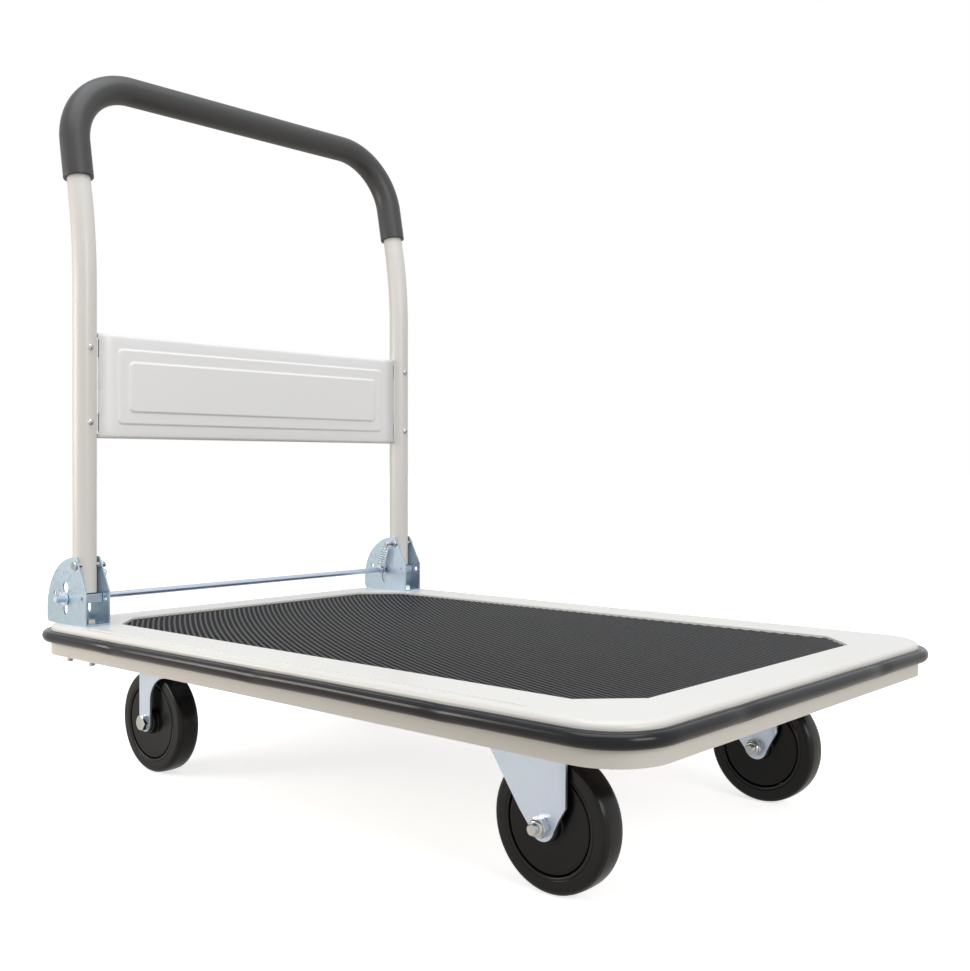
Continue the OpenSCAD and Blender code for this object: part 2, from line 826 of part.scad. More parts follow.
module swivel_plate_left() {
  color(zinc) {
    difference() {
      mounting_plate(kingpin_x);
      translate([kingpin_x, caster_y, plate_under - 1])
        cylinder(r = kingpin_radius + seat_gap, h = caster_plate + 2);
    }
    translate([kingpin_x, caster_y, 0]) rotate_extrude() {
      translate([ball_ring - 2, plate_under - 0.7]) square([4, 0.7 + 1]);
      translate([25, plate_under - 5.5]) square([1.5, 5.5 + 1]);
    }
  }
}
module swivel_plate_right() { mirror([0, 1, 0]) swivel_plate_left(); }

// Side view of a swivel fork's leg, about the axle.
module swivel_leg_side() {
  tip = 11.5;
  sweep = caster_trail - 2;
  rise = crown_top - axle_z;
  hollow = rise - fork_plate - 24;
  circle(tip);
  difference() {
    translate([-tip, 0]) square([2 * tip + sweep, rise]);
    translate([tip + sweep, hollow - sweep]) circle(sweep);
    translate([tip, -1]) square([sweep + 1, hollow - sweep + 1]);
  }
}

module swivel_fork_left() {
  color(zinc) difference() {
    union() {
      translate([0, 0, crown_low]) linear_extrude(fork_plate) {
        translate([kingpin_x, caster_y]) circle(33);
        translate([swivel_axle_x - 11.5, caster_y - fork_out])
          square([caster_trail + 11.5 + 10, 2 * fork_out]);
      }
      for (y = [caster_y - fork_out, caster_y + fork_in])
        upright(y, fork_plate) translate([swivel_axle_x, axle_z]) swivel_leg_side();
      translate([kingpin_x, caster_y, crown_top - 1]) rotate_extrude()
        translate([ball_ring - 2, 0]) square([4, 1.7]);
    }
    translate([kingpin_x, caster_y, crown_low - 1])
      cylinder(r = kingpin_radius + running_gap, h = crown_drop);
    rod_y(swivel_axle_x, caster_y - 50, axle_z, axle_radius + seat_gap, 100);
  }
}
module swivel_fork_right() { mirror([0, 1, 0]) swivel_fork_left(); }

module swivel_balls_left() {
  color(steel) translate([kingpin_x, caster_y, (plate_under + crown_top) / 2])
    for (i = [0 : ball_count - 1]) rotate([0, 0, i * 360 / ball_count])
      translate([ball_ring, 0, 0]) sphere(ball_radius);
}
module swivel_balls_right() { mirror([0, 1, 0]) swivel_balls_left(); }

module kingpins() {
  head = 5;
  low = crown_low - 0.5 - head;
  color(steel) both_sides() translate([kingpin_x, caster_y, low]) {
    cylinder(r = 10, h = head);
    cylinder(r = kingpin_radius, h = plate_top + 12 - low);
  }
}

module kingpin_nuts() {
  height = 9;
  color(steel) both_sides() translate([kingpin_x, caster_y, plate_top]) difference() {
    hex_z(19, height);
    translate([0, 0, -1]) cylinder(r = kingpin_radius + seat_gap, h = height + 2);
  }
}

module caster_bolts() {
  tip = plate_top + bearer_sheet + 9;
  color(steel) both_sides() for (x = [rigid_plate_x, kingpin_x]) caster_bolt_places(x) {
    translate([0, 0, plate_under - hex_height]) hex_z(hex_across, hex_height);
    translate([0, 0, plate_under]) cylinder(r = bolt_radius, h = tip - plate_under);
  }
}

module caster_nuts() {
  height = 6.5;
  color(steel) both_sides() for (x = [rigid_plate_x, kingpin_x]) caster_bolt_places(x)
    translate([0, 0, plate_top + bearer_sheet]) difference() {
      hex_z(hex_across, height);
      translate([0, 0, -1]) cylinder(r = bolt_radius + seat_gap, h = height + 2);
    }
}

// Turns a revolved section about a wheel's axle.
module on_axle(x, y) {
  translate([x, y, axle_z]) rotate([90, 0, 0]) children();
}

// Solid tyre with round shoulders and a shallow step beside the hub.
module tyre(x, y) {
  half = tyre_width / 2;
  shoulder = 4.5;
  bore = hub_radius + 0.4;
  color(rubber_black) on_axle(x, y) rotate_extrude() difference() {
    union() {
      translate([bore, -half]) square([wheel_radius - shoulder - bore, tyre_width]);
      translate([bore, -half + shoulder])
        square([wheel_radius - bore, tyre_width - 2 * shoulder]);
      for (side = [-1, 1])
        translate([wheel_radius - shoulder, side * (half - shoulder)]) circle(shoulder);
    }
    for (side = [-1, 1])
      translate([bore + 1.6, side * half]) square([3.2, 1.2], center = true);
  }
}

// Disc hub with a boss each side, a rim groove for the tyre's edge and a bore for its sleeve.
module hub(x, y) {
  half = tyre_width / 2 - 0.8;
  boss = fork_in - 0.5;
  color(plastic_black) on_axle(x, y) rotate_extrude() {
    bore = sleeve_radius + running_gap;
    translate([bore, -boss]) square([15 - bore, 2 * boss]);
    translate([14, -half + 1]) square([hub_radius - 7 - 14, 2 * half - 2]);
    translate([hub_radius - 8, -half]) square([8, 2 * half]);
    translate([hub_radius - 1, -half + 4]) square([1.4 - seat_gap, 2 * half - 8]);
  }
}

module tyre_rigid_left() { tyre(rigid_x, caster_y); }
module tyre_rigid_right() { tyre(rigid_x, -caster_y); }
module tyre_swivel_left() { tyre(swivel_axle_x, caster_y); }
module tyre_swivel_right() { tyre(swivel_axle_x, -caster_y); }
module hub_rigid_left() { hub(rigid_x, caster_y); }
module hub_rigid_right() { hub(rigid_x, -caster_y); }
module hub_swivel_left() { hub(swivel_axle_x, caster_y); }
module hub_swivel_right() { hub(swivel_axle_x, -caster_y); }

// Steel sleeve clamped between the fork's legs, on which the hub turns.
module sleeve(x, y) {
  color(steel) on_axle(x, y) linear_extrude(2 * fork_in, center = true) difference() {
    circle(sleeve_radius);
    circle(axle_radius + seat_gap);
  }
}

module axle_bolt(x, y, turn) {
  color(steel) translate([x, y, 0]) scale([1, turn, 1]) {
    rod_y(0, -fork_out - axle_nut - 5, axle_z, axle_radius, 2 * fork_out + axle_nut + 5);
    hex_y(0, fork_out, axle_z, axle_across, axle_head);
  }
}

// Self-locking nut: a hexagon with a round collar.
module axle_lock_nut(x, y, turn) {
  hexagon = 7;
  color(steel) translate([x, y, 0]) scale([1, turn, 1]) difference() {
    union() {
      hex_y(0, -fork_out - hexagon, axle_z, axle_across, hexagon);
      rod_y(0, -fork_out - axle_nut, axle_z, axle_across / 2 - 0.8, axle_nut - 1);
    }
    rod_y(0, -fork_out - axle_nut - 1, axle_z, axle_radius + seat_gap, axle_nut + 2);
  }
}

module rigid_sleeves() { for (side = [-1, 1]) sleeve(rigid_x, side * caster_y); }
module swivel_sleeve_left() { sleeve(swivel_axle_x, caster_y); }
module swivel_sleeve_right() { sleeve(swivel_axle_x, -caster_y); }
module rigid_axle_bolts() { for (side = [-1, 1]) axle_bolt(rigid_x, side * caster_y, 1); }
module rigid_axle_nuts() { for (side = [-1, 1]) axle_lock_nut(rigid_x, side * caster_y, 1); }
module swivel_axle_bolt_left() { axle_bolt(swivel_axle_x, caster_y, -1); }
module swivel_axle_bolt_right() { axle_bolt(swivel_axle_x, -caster_y, -1); }
module swivel_axle_nut_left() { axle_lock_nut(swivel_axle_x, caster_y, -1); }
module swivel_axle_nut_right() { axle_lock_nut(swivel_axle_x, -caster_y, -1); }

deck_shell();
bearer_front();
bearer_rear();
stringer_left();
stringer_right();
deck_mat();
bumper();
hinge_bracket_left();
hinge_bracket_right();
bracket_support_left();
bracket_support_right();
bracket_bolts();
bracket_nuts();
pivot_pins();
spring_studs();
handle_tube();
handle_grip();
handle_panel();
panel_screws();
release_rod();
lock_plate_left();
lock_plate_right();
spring_collars();
rod_washers();
rod_cotters();
spring_left();
spring_right();
rigid_fork_left();
rigid_fork_right();
swivel_plate_left();
swivel_plate_right();
swivel_fork_left();
swivel_fork_right();
swivel_balls_left();
swivel_balls_right();
kingpins();
kingpin_nuts();
caster_bolts();
caster_nuts();
tyre_rigid_left();
tyre_rigid_right();
tyre_swivel_left();
tyre_swivel_right();
hub_rigid_left();
hub_rigid_right();
hub_swivel_left();
hub_swivel_right();
rigid_sleeves();
swivel_sleeve_left();
swivel_sleeve_right();
rigid_axle_bolts();
swivel_axle_bolt_left();
swivel_axle_bolt_right();
rigid_axle_nuts();
swivel_axle_nut_left();
swivel_axle_nut_right();
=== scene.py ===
import json
import math

import bmesh
import bpy
from mathutils import Matrix, Vector, noise


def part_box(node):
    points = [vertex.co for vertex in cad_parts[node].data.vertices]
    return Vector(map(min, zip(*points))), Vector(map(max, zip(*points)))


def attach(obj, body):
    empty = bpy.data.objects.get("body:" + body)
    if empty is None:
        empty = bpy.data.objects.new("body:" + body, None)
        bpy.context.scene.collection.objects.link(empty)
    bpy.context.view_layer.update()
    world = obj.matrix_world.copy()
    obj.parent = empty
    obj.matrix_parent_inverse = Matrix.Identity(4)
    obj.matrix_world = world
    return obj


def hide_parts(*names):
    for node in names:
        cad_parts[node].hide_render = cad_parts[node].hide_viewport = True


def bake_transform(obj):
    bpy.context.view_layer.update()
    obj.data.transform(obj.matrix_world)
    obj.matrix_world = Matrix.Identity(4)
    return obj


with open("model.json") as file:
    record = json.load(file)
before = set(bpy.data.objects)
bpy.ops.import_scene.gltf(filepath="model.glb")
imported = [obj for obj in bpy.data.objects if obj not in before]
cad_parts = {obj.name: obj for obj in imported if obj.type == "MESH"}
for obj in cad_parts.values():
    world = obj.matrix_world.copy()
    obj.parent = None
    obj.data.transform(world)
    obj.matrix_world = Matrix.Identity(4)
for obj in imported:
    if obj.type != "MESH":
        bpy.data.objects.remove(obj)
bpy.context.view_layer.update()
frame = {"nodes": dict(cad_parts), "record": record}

bl_info = {
    "name": "Folding platform cart",
    "version": (1, 0, 0),
    "blender": (4, 5, 0),
    "location": "View3D > Sidebar > Cart",
    "description": "Builds the finished look of a folding platform cart round its packed model",
    "category": "Object",
}

MM = 0.001
SIDES = (("left", 1), ("right", -1))
WELD = 2e-6
RIB_CENTRE = (1.055, 1.916)
RIB_STEP = 18 * MM
DECK_CORNER = 55 * MM
X_AXIS = Vector((1, 0, 0))
Y_AXIS = Vector((0, 1, 0))
Z_AXIS = Vector((0, 0, 1))


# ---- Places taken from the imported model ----


def middle(node):
    low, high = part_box(node)
    return (low + high) / 2


def islands(node):
    """The separate solids of a node, each as a list of its points."""
    bm = bmesh.new()
    bm.from_mesh(frame["nodes"][node].data)
    bmesh.ops.remove_doubles(bm, verts=bm.verts, dist=WELD)
    seen, found = set(), []
    for start in bm.verts:
        if start.index in seen:
            continue
        seen.add(start.index)
        group, queue = [], [start]
        while queue:
            vert = queue.pop()
            group.append(vert.co.copy())
            for edge in vert.link_edges:
                other = edge.other_vert(vert)
                if other.index not in seen:
                    seen.add(other.index)
                    queue.append(other)
        found.append(group)
    bm.free()
    return found


# ---- Mesh tools ----


def piece(name, bm, body, material, stands_for=(), facet=35):
    """Turns a bmesh into a piece that rides on a body and stands for CAD nodes."""
    bmesh.ops.recalc_face_normals(bm, faces=bm.faces)
    mesh = bpy.data.meshes.new(name)
    bm.to_mesh(mesh)
    bm.free()
    mesh.shade_smooth()
    mesh.set_sharp_from_angle(angle=math.radians(facet))
    obj = bpy.data.objects.new(name, mesh)
    bpy.context.scene.collection.objects.link(obj)
    mesh.materials.append(material)
    if body:
        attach(obj, body)
    if stands_for:
        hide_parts(*stands_for)
    return obj


def body_of(node):
    for body, members in frame["record"]["behaviour"]["bodies"].items():
        if node in members:
            return body
    raise ValueError(f"{node} is in no body")


def softened(node, width, material, name=None, segments=2, limit=32):
    """A copy of a CAD node with its sharp edges broken, standing for that node."""
    bm = bmesh.new()
    bm.from_mesh(frame["nodes"][node].data)
    bmesh.ops.remove_doubles(bm, verts=bm.verts, dist=WELD)
    bmesh.ops.dissolve_limit(
        bm, angle_limit=math.radians(0.6), use_dissolve_boundaries=False,
        verts=bm.verts, edges=bm.edges,
    )
    obj = piece(name or node + "_made", bm, body_of(node), material, [node], limit)
    bevel = obj.modifiers.new("Broken edges", "BEVEL")
    bevel.limit_method = "ANGLE"
    bevel.angle_limit = math.radians(limit)
    bevel.width = width
    bevel.segments = segments
    bevel.use_clamp_overlap = True
    flat = obj.modifiers.new("Flat faces", "WEIGHTED_NORMAL")
    flat.mode = "FACE_AREA"
    flat.keep_sharp = False
    return obj


def turned(bm, profile, centre, axis, segments=64, closed=False):
    """Turns a profile of (radius, distance along the axis) about an axis through centre."""
    side = axis.orthogonal().normalized()
    if abs(axis.dot(X_AXIS)) < 0.5:
        side = X_AXIS.copy()
    across = axis.cross(side).normalized()
    rings = []
    for radius, along in profile:
        if radius < 1e-7:
            rings.append([bm.verts.new(centre + axis * along)])
            continue
        ring = []
        for k in range(segments):
            turn = 2 * math.pi * k / segments
            ring.append(bm.verts.new(
                centre + axis * along
                + (side * math.cos(turn) + across * math.sin(turn)) * radius
            ))
        rings.append(ring)
    pairs = list(zip(rings, rings[1:]))
    if closed:
        pairs.append((rings[-1], rings[0]))
    for low, high in pairs:
        for k in range(segments):
            nxt = (k + 1) % segments
            if len(low) == 1 and len(high) == 1:
                continue
            if len(low) == 1:
                bm.faces.new((low[0], high[k], high[nxt]))
            elif len(high) == 1:
                bm.faces.new((low[k], low[nxt], high[0]))
            else:
                bm.faces.new((low[k], low[nxt], high[nxt], high[k]))


def swept(bm, path, radii, segments=24, loop=False):
    """A round section carried along a path, with its own radius at each point."""
    count = len(path)
    tangents = []
    for k in range(count):
        before = path[k - 1] if (k or loop) else path[k]
        after = path[(k + 1) % count] if (k < count - 1 or loop) else path[k]
        step = after - before
        if step.length < 1e-9:
            step = tangents[-1] if tangents else path[k + 2] - path[k]
        tangents.append(step.normalized())
    normal = tangents[0].orthogonal().normalized()
    rings = []
    for k in range(count):
        normal = (normal - tangents[k] * normal.dot(tangents[k])).normalized()
        across = tangents[k].cross(normal)
        radius = radii[k] if isinstance(radii, (list, tuple)) else radii
        ring = []
        for j in range(segments):
            turn = 2 * math.pi * j / segments
            offset = (normal * math.cos(turn) + across * math.sin(turn)) * radius
            ring.append(bm.verts.new(path[k] + offset))
        rings.append(ring)
    for low, high in zip(rings, rings[1:]):
        walled(bm, low, high)
    return rings


def walled(bm, one, two):
    """Faces between two rings that have the same number of points."""
    size = len(one)
    for j in range(size):
        nxt = (j + 1) % size
        bm.faces.new((one[j], one[nxt], two[nxt], two[j]))


def carried_round(bm, section_at, outline):
    """A closed section carried round a closed outline of (point, outward normal)."""
    rings = []
    for index, (point, outward) in enumerate(outline):
        ring = []
        for out, height in section_at(index):
            ring.append(bm.verts.new((
                point.x + outward.x * out, point.y + outward.y * out, height
            )))
        rings.append(ring)
    size = len(rings[0])
    for low, high in zip(rings, rings[1:] + rings[:1]):
        for j in range(size):
            nxt = (j + 1) % size
            bm.faces.new((low[j], high[j], high[nxt], low[nxt]))


def rounded_outline(half_x, half_y, corner, step, corner_steps):
    """Points and outward normals round a rectangle with round corners, anticlockwise."""
    outline = []
    corners = [
        (half_x - corner, half_y - corner, 0),
        (corner - half_x, half_y - corner, 90),
        (corner - half_x, corner - half_y, 180),
        (half_x - corner, corner - half_y, 270),
    ]
    for index, (x, y, start) in enumerate(corners):
        for k in range(corner_steps + 1):
            turn = math.radians(start + 90 * k / corner_steps)
            outward = Vector((math.cos(turn), math.sin(turn)))
            outline.append((Vector((x, y)) + outward * corner, outward))
        last, outward = outline[-1]
        nx, ny, nstart = corners[(index + 1) % 4]
        turn = math.radians(nstart)
        target = Vector((nx, ny)) + Vector((math.cos(turn), math.sin(turn))) * corner
        pieces = max(2, round((target - last).length / step))
        for k in range(1, pieces):
            outline.append((last.lerp(target, k / pieces), outward.copy()))
    return outline


def smooth_step(value):
    value = min(max(value, 0.0), 1.0)
    return value * value * (3 - 2 * value)


# ---- Fasteners ----


def measured_fastener(points, axis):
    """Reads a bolt or nut solid: its centre line, head and shank, from its own points."""
    low = Vector([min(p[i] for p in points) for i in range(3)])
    high = Vector([max(p[i] for p in points) for i in range(3)])
    centre = (low + high) / 2
    axial = [(p - centre).dot(axis) for p in points]
    radial = [((p - centre) - axis * a).length for p, a in zip(points, axial)]
    widest = max(radial)
    head = [a for a, r in zip(axial, radial) if r > 0.97 * widest]
    first, last = min(axial), max(axial)
    tip = last if sum(head) < 0 else first
    shank = max(r for a, r in zip(axial, radial) if abs(a - tip) < 1e-5)
    bore = min(radial)
    return {
        "centre": centre, "head": (min(head), max(head)), "corner": widest,
        "ends": (first, last), "tip": tip, "shank": shank, "bore": bore,
    }


def hexagon(bm, centre, axis, low, high, corner, bore=0.0, cut_low=True, cut_high=True):
    """A hexagonal head or nut whose corners are turned down by a 30 degree chamfer."""
    side = X_AXIS if abs(axis.dot(X_AXIS)) < 0.5 else Y_AXIS
    across = axis.cross(side).normalized()
    flat = corner * math.cos(math.pi / 6)
    per_side = 6
    rim = flat * 0.97
    slope = math.tan(math.radians(30))

    def ring(radius_at, height_at):
        made = []
        for k in range(6 * per_side):
            turn = math.pi / 3 * k / per_side
            within = (turn % (math.pi / 3)) - math.pi / 6
            radius = radius_at(flat / math.cos(within))
            spot = centre + (side * math.cos(turn) + across * math.sin(turn)) * radius
            made.append(bm.verts.new(spot + axis * height_at(radius)))
        return made

    def drop(radius):
        return max(0.0, radius - rim) * slope

    rings = []
    if bore:
        rings.append(ring(lambda r: bore, lambda r: low))
    else:
        rings.append(ring(lambda r: rim * 0.3, lambda r: low))
    rings.append(ring(lambda r: rim, lambda r: low))
    rings.append(ring(lambda r: r, lambda r: low + (drop(r) if cut_low else 0.0)))
    rings.append(ring(lambda r: r, lambda r: high - (drop(r) if cut_high else 0.0)))
    rings.append(ring(lambda r: rim, lambda r: high))
    if bore:
        rings.append(ring(lambda r: bore, lambda r: high))
        rings.append(rings[0])
    else:
        rings.append(ring(lambda r: rim * 0.3, lambda r: high))
    for one, two in zip(rings, rings[1:]):
        walled(bm, one, two)
    if not bore:
        bm.faces.new(rings[0])
        bm.faces.new(rings[-1])


def thread_profile(radius, tip, back, pitch, length):
    """A turned shank from its chamfered tip back to the head, ringed like a thread."""
    way = 1 if back > tip else -1
    depth = 0.55 * pitch * 0.6
    profile = [(0.0, tip), (radius - 1.6 * depth, tip), (radius, tip + way * 1.2 * depth)]
    at = 1.2 * depth
    while at + pitch < min(length, abs(back - tip) - pitch):
        profile.append((radius, tip + way * (at + 0.18 * pitch)))
        profile.append((radius - depth, tip + way * (at + 0.5 * pitch)))
        profile.append((radius, tip + way * (at + 0.82 * pitch)))
        at += pitch
    profile += [(radius, back), (0.0, back)]
    return profile


def bolts(node, axis, pitch, name, material, threaded=0.02):
    bm = bmesh.new()
    for points in islands(node):
        size = measured_fastener(points, axis)
        low, high = size["head"]
        hexagon(bm, size["centre"], axis, low, high, size["corner"],
                cut_low=size["tip"] > high, cut_high=size["tip"] < low)
        back = low if size["tip"] < low else high
        turned(bm, thread_profile(size["shank"], size["tip"], back, pitch, threaded),
               size["centre"], axis, 32)
    return piece(name, bm, body_of(node), material, [node], 28)


def nuts(node, axis, name, material, bore):
    bm = bmesh.new()
    for points in islands(node):
        size = measured_fastener(points, axis)
        low, high = size["head"]
        hexagon(bm, size["centre"], axis, low, high, size["corner"], bore)
        first, last = size["ends"]
        if last - high > 1e-4 or low - first > 1e-4:
            start, end = (high, last) if last - high > low - first else (low, first)
            way = 1 if end > start else -1
            flat = size["corner"] * math.cos(math.pi / 6) - 0.8 * MM
            turned(bm, [(bore, start), (flat, start), (flat, end - way * 1.4 * MM),
                        (flat - 0.9 * MM, end - way * 0.3 * MM), (flat - 1.6 * MM, end),
                        (bore, end)],
                   size["centre"], axis, 36, closed=True)
    return piece(name, bm, body_of(node), material, [node], 28)


# ---- Shader node groups ----


def group_tree(name, inputs, outputs):
    tree = bpy.data.node_groups.new(name, "ShaderNodeTree")
    for label, kind, default in inputs:
        socket = tree.interface.new_socket(label, in_out="INPUT", socket_type=kind)
        socket.default_value = default
    for label, kind in outputs:
        tree.interface.new_socket(label, in_out="OUTPUT", socket_type=kind)
    start = tree.nodes.new("NodeGroupInput")
    end = tree.nodes.new("NodeGroupOutput")
    return tree, start, end


def linked(tree, source, target):
    tree.links.new(source, target)


def math_node(tree, operation, first, second=None, clamp=False):
    node = tree.nodes.new("ShaderNodeMath")
    node.operation = operation
    node.use_clamp = clamp
    for socket, value in zip(node.inputs, (first, second)):
        if value is None:
            continue
        if isinstance(value, (int, float)):
            socket.default_value = value
        else:
            linked(tree, value, socket)
    return node.outputs[0]


def noise_node(tree, scale, detail=2.0, rough=0.5, stretch=None):
    """Noise laid out in the object's own metres."""
    where = tree.nodes.new("ShaderNodeTexCoord").outputs["Object"]
    if stretch:
        mapping = tree.nodes.new("ShaderNodeMapping")
        mapping.inputs["Scale"].default_value = stretch
        linked(tree, where, mapping.inputs["Vector"])
        where = mapping.outputs["Vector"]
    node = tree.nodes.new("ShaderNodeTexNoise")
    linked(tree, where, node.inputs["Vector"])
    node.inputs["Detail"].default_value = detail
    node.inputs["Roughness"].default_value = rough
    if isinstance(scale, (int, float)):
        node.inputs["Scale"].default_value = scale
    else:
        linked(tree, scale, node.inputs["Scale"])
    return node.outputs["Fac"]


def range_node(tree, value, low, high, to_low=0.0, to_high=1.0):
    node = tree.nodes.new("ShaderNodeMapRange")
    node.clamp = True
    linked(tree, value, node.inputs["Value"])
    for label, number in (("From Min", low), ("From Max", high),
                          ("To Min", to_low), ("To Max", to_high)):
        if isinstance(number, (int, float)):
            node.inputs[label].default_value = number
        else:
            linked(tree, number, node.inputs[label])
    return node.outputs["Result"]


def mixed(tree, mask, first, second):
    node = tree.nodes.new("ShaderNodeMix")
    node.data_type = "RGBA"
    linked(tree, mask, node.inputs[0])
    for socket, value in ((node.inputs[6], first), (node.inputs[7], second)):
        if isinstance(value, (tuple, list)):
            socket.default_value = (*value[:3], 1)
        else:
            linked(tree, value, socket)
    return node.outputs[2]


def fine_grain_group():
    """Fine surface grain, and a slow drift of tone over the piece."""
    tree, start, end = group_tree(
        "Fine grain",
        [("Scale", "NodeSocketFloat", 900.0), ("Drift Scale", "NodeSocketFloat", 9.0)],
        [("Height", "NodeSocketFloat"), ("Drift", "NodeSocketFloat")],
    )
    height = noise_node(tree, start.outputs["Scale"], 3.0, 0.6)
    drift = noise_node(tree, start.outputs["Drift Scale"], 3.0, 0.55)
    linked(tree, height, end.inputs["Height"])
    linked(tree, range_node(tree, drift, 0.3, 0.7), end.inputs["Drift"])
    return tree


def edge_wear_group():
    """Where corners are rubbed: outer edges, broken up by noise."""
    tree, start, end = group_tree(
        "Edge wear",
        [("Start", "NodeSocketFloat", 0.53), ("Breakup Scale", "NodeSocketFloat", 60.0),
         ("Amount", "NodeSocketFloat", 1.0)],
        [("Mask", "NodeSocketFloat")],
    )
    point = tree.nodes.new("ShaderNodeNewGeometry").outputs["Pointiness"]
    finish = math_node(tree, "ADD", start.outputs["Start"], 0.06)
    edge = range_node(tree, point, start.outputs["Start"], finish)
    broken = range_node(tree, noise_node(tree, start.outputs["Breakup Scale"], 4.0, 0.7), 0.42, 0.62)
    both = math_node(tree, "MULTIPLY", edge, broken)
    linked(tree, math_node(tree, "MULTIPLY", both, start.outputs["Amount"], True),
           end.inputs["Mask"])
    return tree


def dust_group():
    """A thin film of dust on faces that look up."""
    tree, start, end = group_tree(
        "Dust film",
        [("Amount", "NodeSocketFloat", 0.3), ("Scale", "NodeSocketFloat", 30.0)],
        [("Mask", "NodeSocketFloat")],
    )
    geometry = tree.nodes.new("ShaderNodeNewGeometry")
    split = tree.nodes.new("ShaderNodeSeparateXYZ")
    linked(tree, geometry.outputs["Normal"], split.inputs[0])
    facing = range_node(tree, split.outputs["Z"], 0.35, 0.95)
    patch = range_node(tree, noise_node(tree, start.outputs["Scale"], 5.0, 0.65), 0.35, 0.75)
    both = math_node(tree, "MULTIPLY", facing, patch)
    linked(tree, math_node(tree, "MULTIPLY", both, start.outputs["Amount"], True),
           end.inputs["Mask"])
    return tree


def plating_group():
    """The drifting tints of zinc plate, with its fine rolled grain."""
    tree, start, end = group_tree(
        "Plating tints",
        [("Blue", "NodeSocketColor", (0.6, 0.7, 0.8, 1)),
         ("Lilac", "NodeSocketColor", (0.66, 0.66, 0.78, 1)),
         ("Green grey", "NodeSocketColor", (0.6, 0.7, 0.7, 1)),
         ("Scale", "NodeSocketFloat", 22.0)],
        [("Colour", "NodeSocketColor"), ("Roughness", "NodeSocketFloat"),
         ("Height", "NodeSocketFloat")],
    )
    wide = range_node(tree, noise_node(tree, start.outputs["Scale"], 2.0, 0.5), 0.35, 0.65)
    half = math_node(tree, "MULTIPLY", start.outputs["Scale"], 1.7)
    other = range_node(tree, noise_node(tree, half, 1.0, 0.4, (1.0, 1.3, 0.7)), 0.45, 0.7)
    colour = mixed(tree, wide, start.outputs["Blue"], start.outputs["Lilac"])
    colour = mixed(tree, other, colour, start.outputs["Green grey"])
    fine = noise_node(tree, 700.0, 3.0, 0.6, (1.0, 1.0, 0.25))
    linked(tree, colour, end.inputs["Colour"])
    linked(tree, range_node(tree, fine, 0.3, 0.7, 0.26, 0.42), end.inputs["Roughness"])
    linked(tree, fine, end.inputs["Height"])
    return tree


# ---- Materials ----


def blank_material(name):
    material = bpy.data.materials.new(name)
    material.use_nodes = True
    tree = material.node_tree
    tree.nodes.clear()
    output = tree.nodes.new("ShaderNodeOutputMaterial")
    shader = tree.nodes.new("ShaderNodeBsdfPrincipled")
    linked(tree, shader.outputs["BSDF"], output.inputs["Surface"])
    return material, tree, shader


def placed_group(tree, name, values):
    node = tree.nodes.new("ShaderNodeGroup")
    node.node_tree = bpy.data.node_groups[name]
    for label, value in values.items():
        node.inputs[label].default_value = value
    return node.outputs


def bumped(tree, shader, height, distance, strength=1.0):
    bump = tree.nodes.new("ShaderNodeBump")
    bump.inputs["Strength"].default_value = strength
    bump.inputs["Distance"].default_value = distance
    linked(tree, height, bump.inputs["Height"])
    linked(tree, bump.outputs["Normal"], shader.inputs["Normal"])


def powder_coat(name, colour, shade, primer):
    """Cream powder coat with a faint orange peel and corners rubbed towards the primer."""
    material, tree, shader = blank_material(name)
    grain = placed_group(tree, "Fine grain", {"Scale": 420.0, "Drift Scale": 5.0})
    wear = placed_group(tree, "Edge wear", {"Start": 0.56, "Breakup Scale": 90.0, "Amount": 0.35})
    dust = placed_group(tree, "Dust film", {"Amount": 0.10, "Scale": 14.0})
    tone = mixed(tree, grain["Drift"], colour, shade)
    tone = mixed(tree, dust["Mask"], tone, (0.62, 0.6, 0.55))
    tone = mixed(tree, wear["Mask"], tone, primer)
    linked(tree, tone, shader.inputs["Base Color"])
    linked(tree, range_node(tree, grain["Height"], 0.3, 0.7, 0.34, 0.44), shader.inputs["Roughness"])
    shader.inputs["Coat Weight"].default_value = 0.25
    shader.inputs["Coat Roughness"].default_value = 0.22
    bumped(tree, shader, grain["Height"], 0.00006)
    return material


def rubber(name, colour, pale, rough, scale, depth, dust_amount=0.15, shine=0.25):
    material, tree, shader = blank_material(name)
    shader.inputs["Specular IOR Level"].default_value = shine
    grain = placed_group(tree, "Fine grain", {"Scale": scale, "Drift Scale": 12.0})
    wear = placed_group(tree, "Edge wear", {"Start": 0.54, "Breakup Scale": 120.0, "Amount": 0.5})
    dust = placed_group(tree, "Dust film", {"Amount": dust_amount, "Scale": 40.0})
    tone = mixed(tree, wear["Mask"], colour, pale)
    tone = mixed(tree, dust["Mask"], tone, pale)
    linked(tree, tone, shader.inputs["Base Color"])
    linked(tree, range_node(tree, grain["Height"], 0.25, 0.75, rough - 0.03, rough + 0.04),
           shader.inputs["Roughness"])
    bumped(tree, shader, grain["Height"], depth)
    return material


def plated(name, blue, lilac, green, scale, wear_colour, metallic=0.9, polish=1.0):
    material, tree, shader = blank_material(name)
    tints = placed_group(tree, "Plating tints", {
        "Blue": (*blue, 1), "Lilac": (*lilac, 1), "Green grey": (*green, 1), "Scale": scale,
    })
    wear = placed_group(tree, "Edge wear", {"Start": 0.55, "Breakup Scale": 150.0, "Amount": 0.25})
    tone = mixed(tree, wear["Mask"], tints["Colour"], wear_colour)
    linked(tree, tone, shader.inputs["Base Color"])
    rough = math_node(tree, "MULTIPLY", tints["Roughness"], polish)
    linked(tree, rough, shader.inputs["Roughness"])
    shader.inputs["Metallic"].default_value = metallic
    bumped(tree, shader, tints["Height"], 0.00002)
    return material


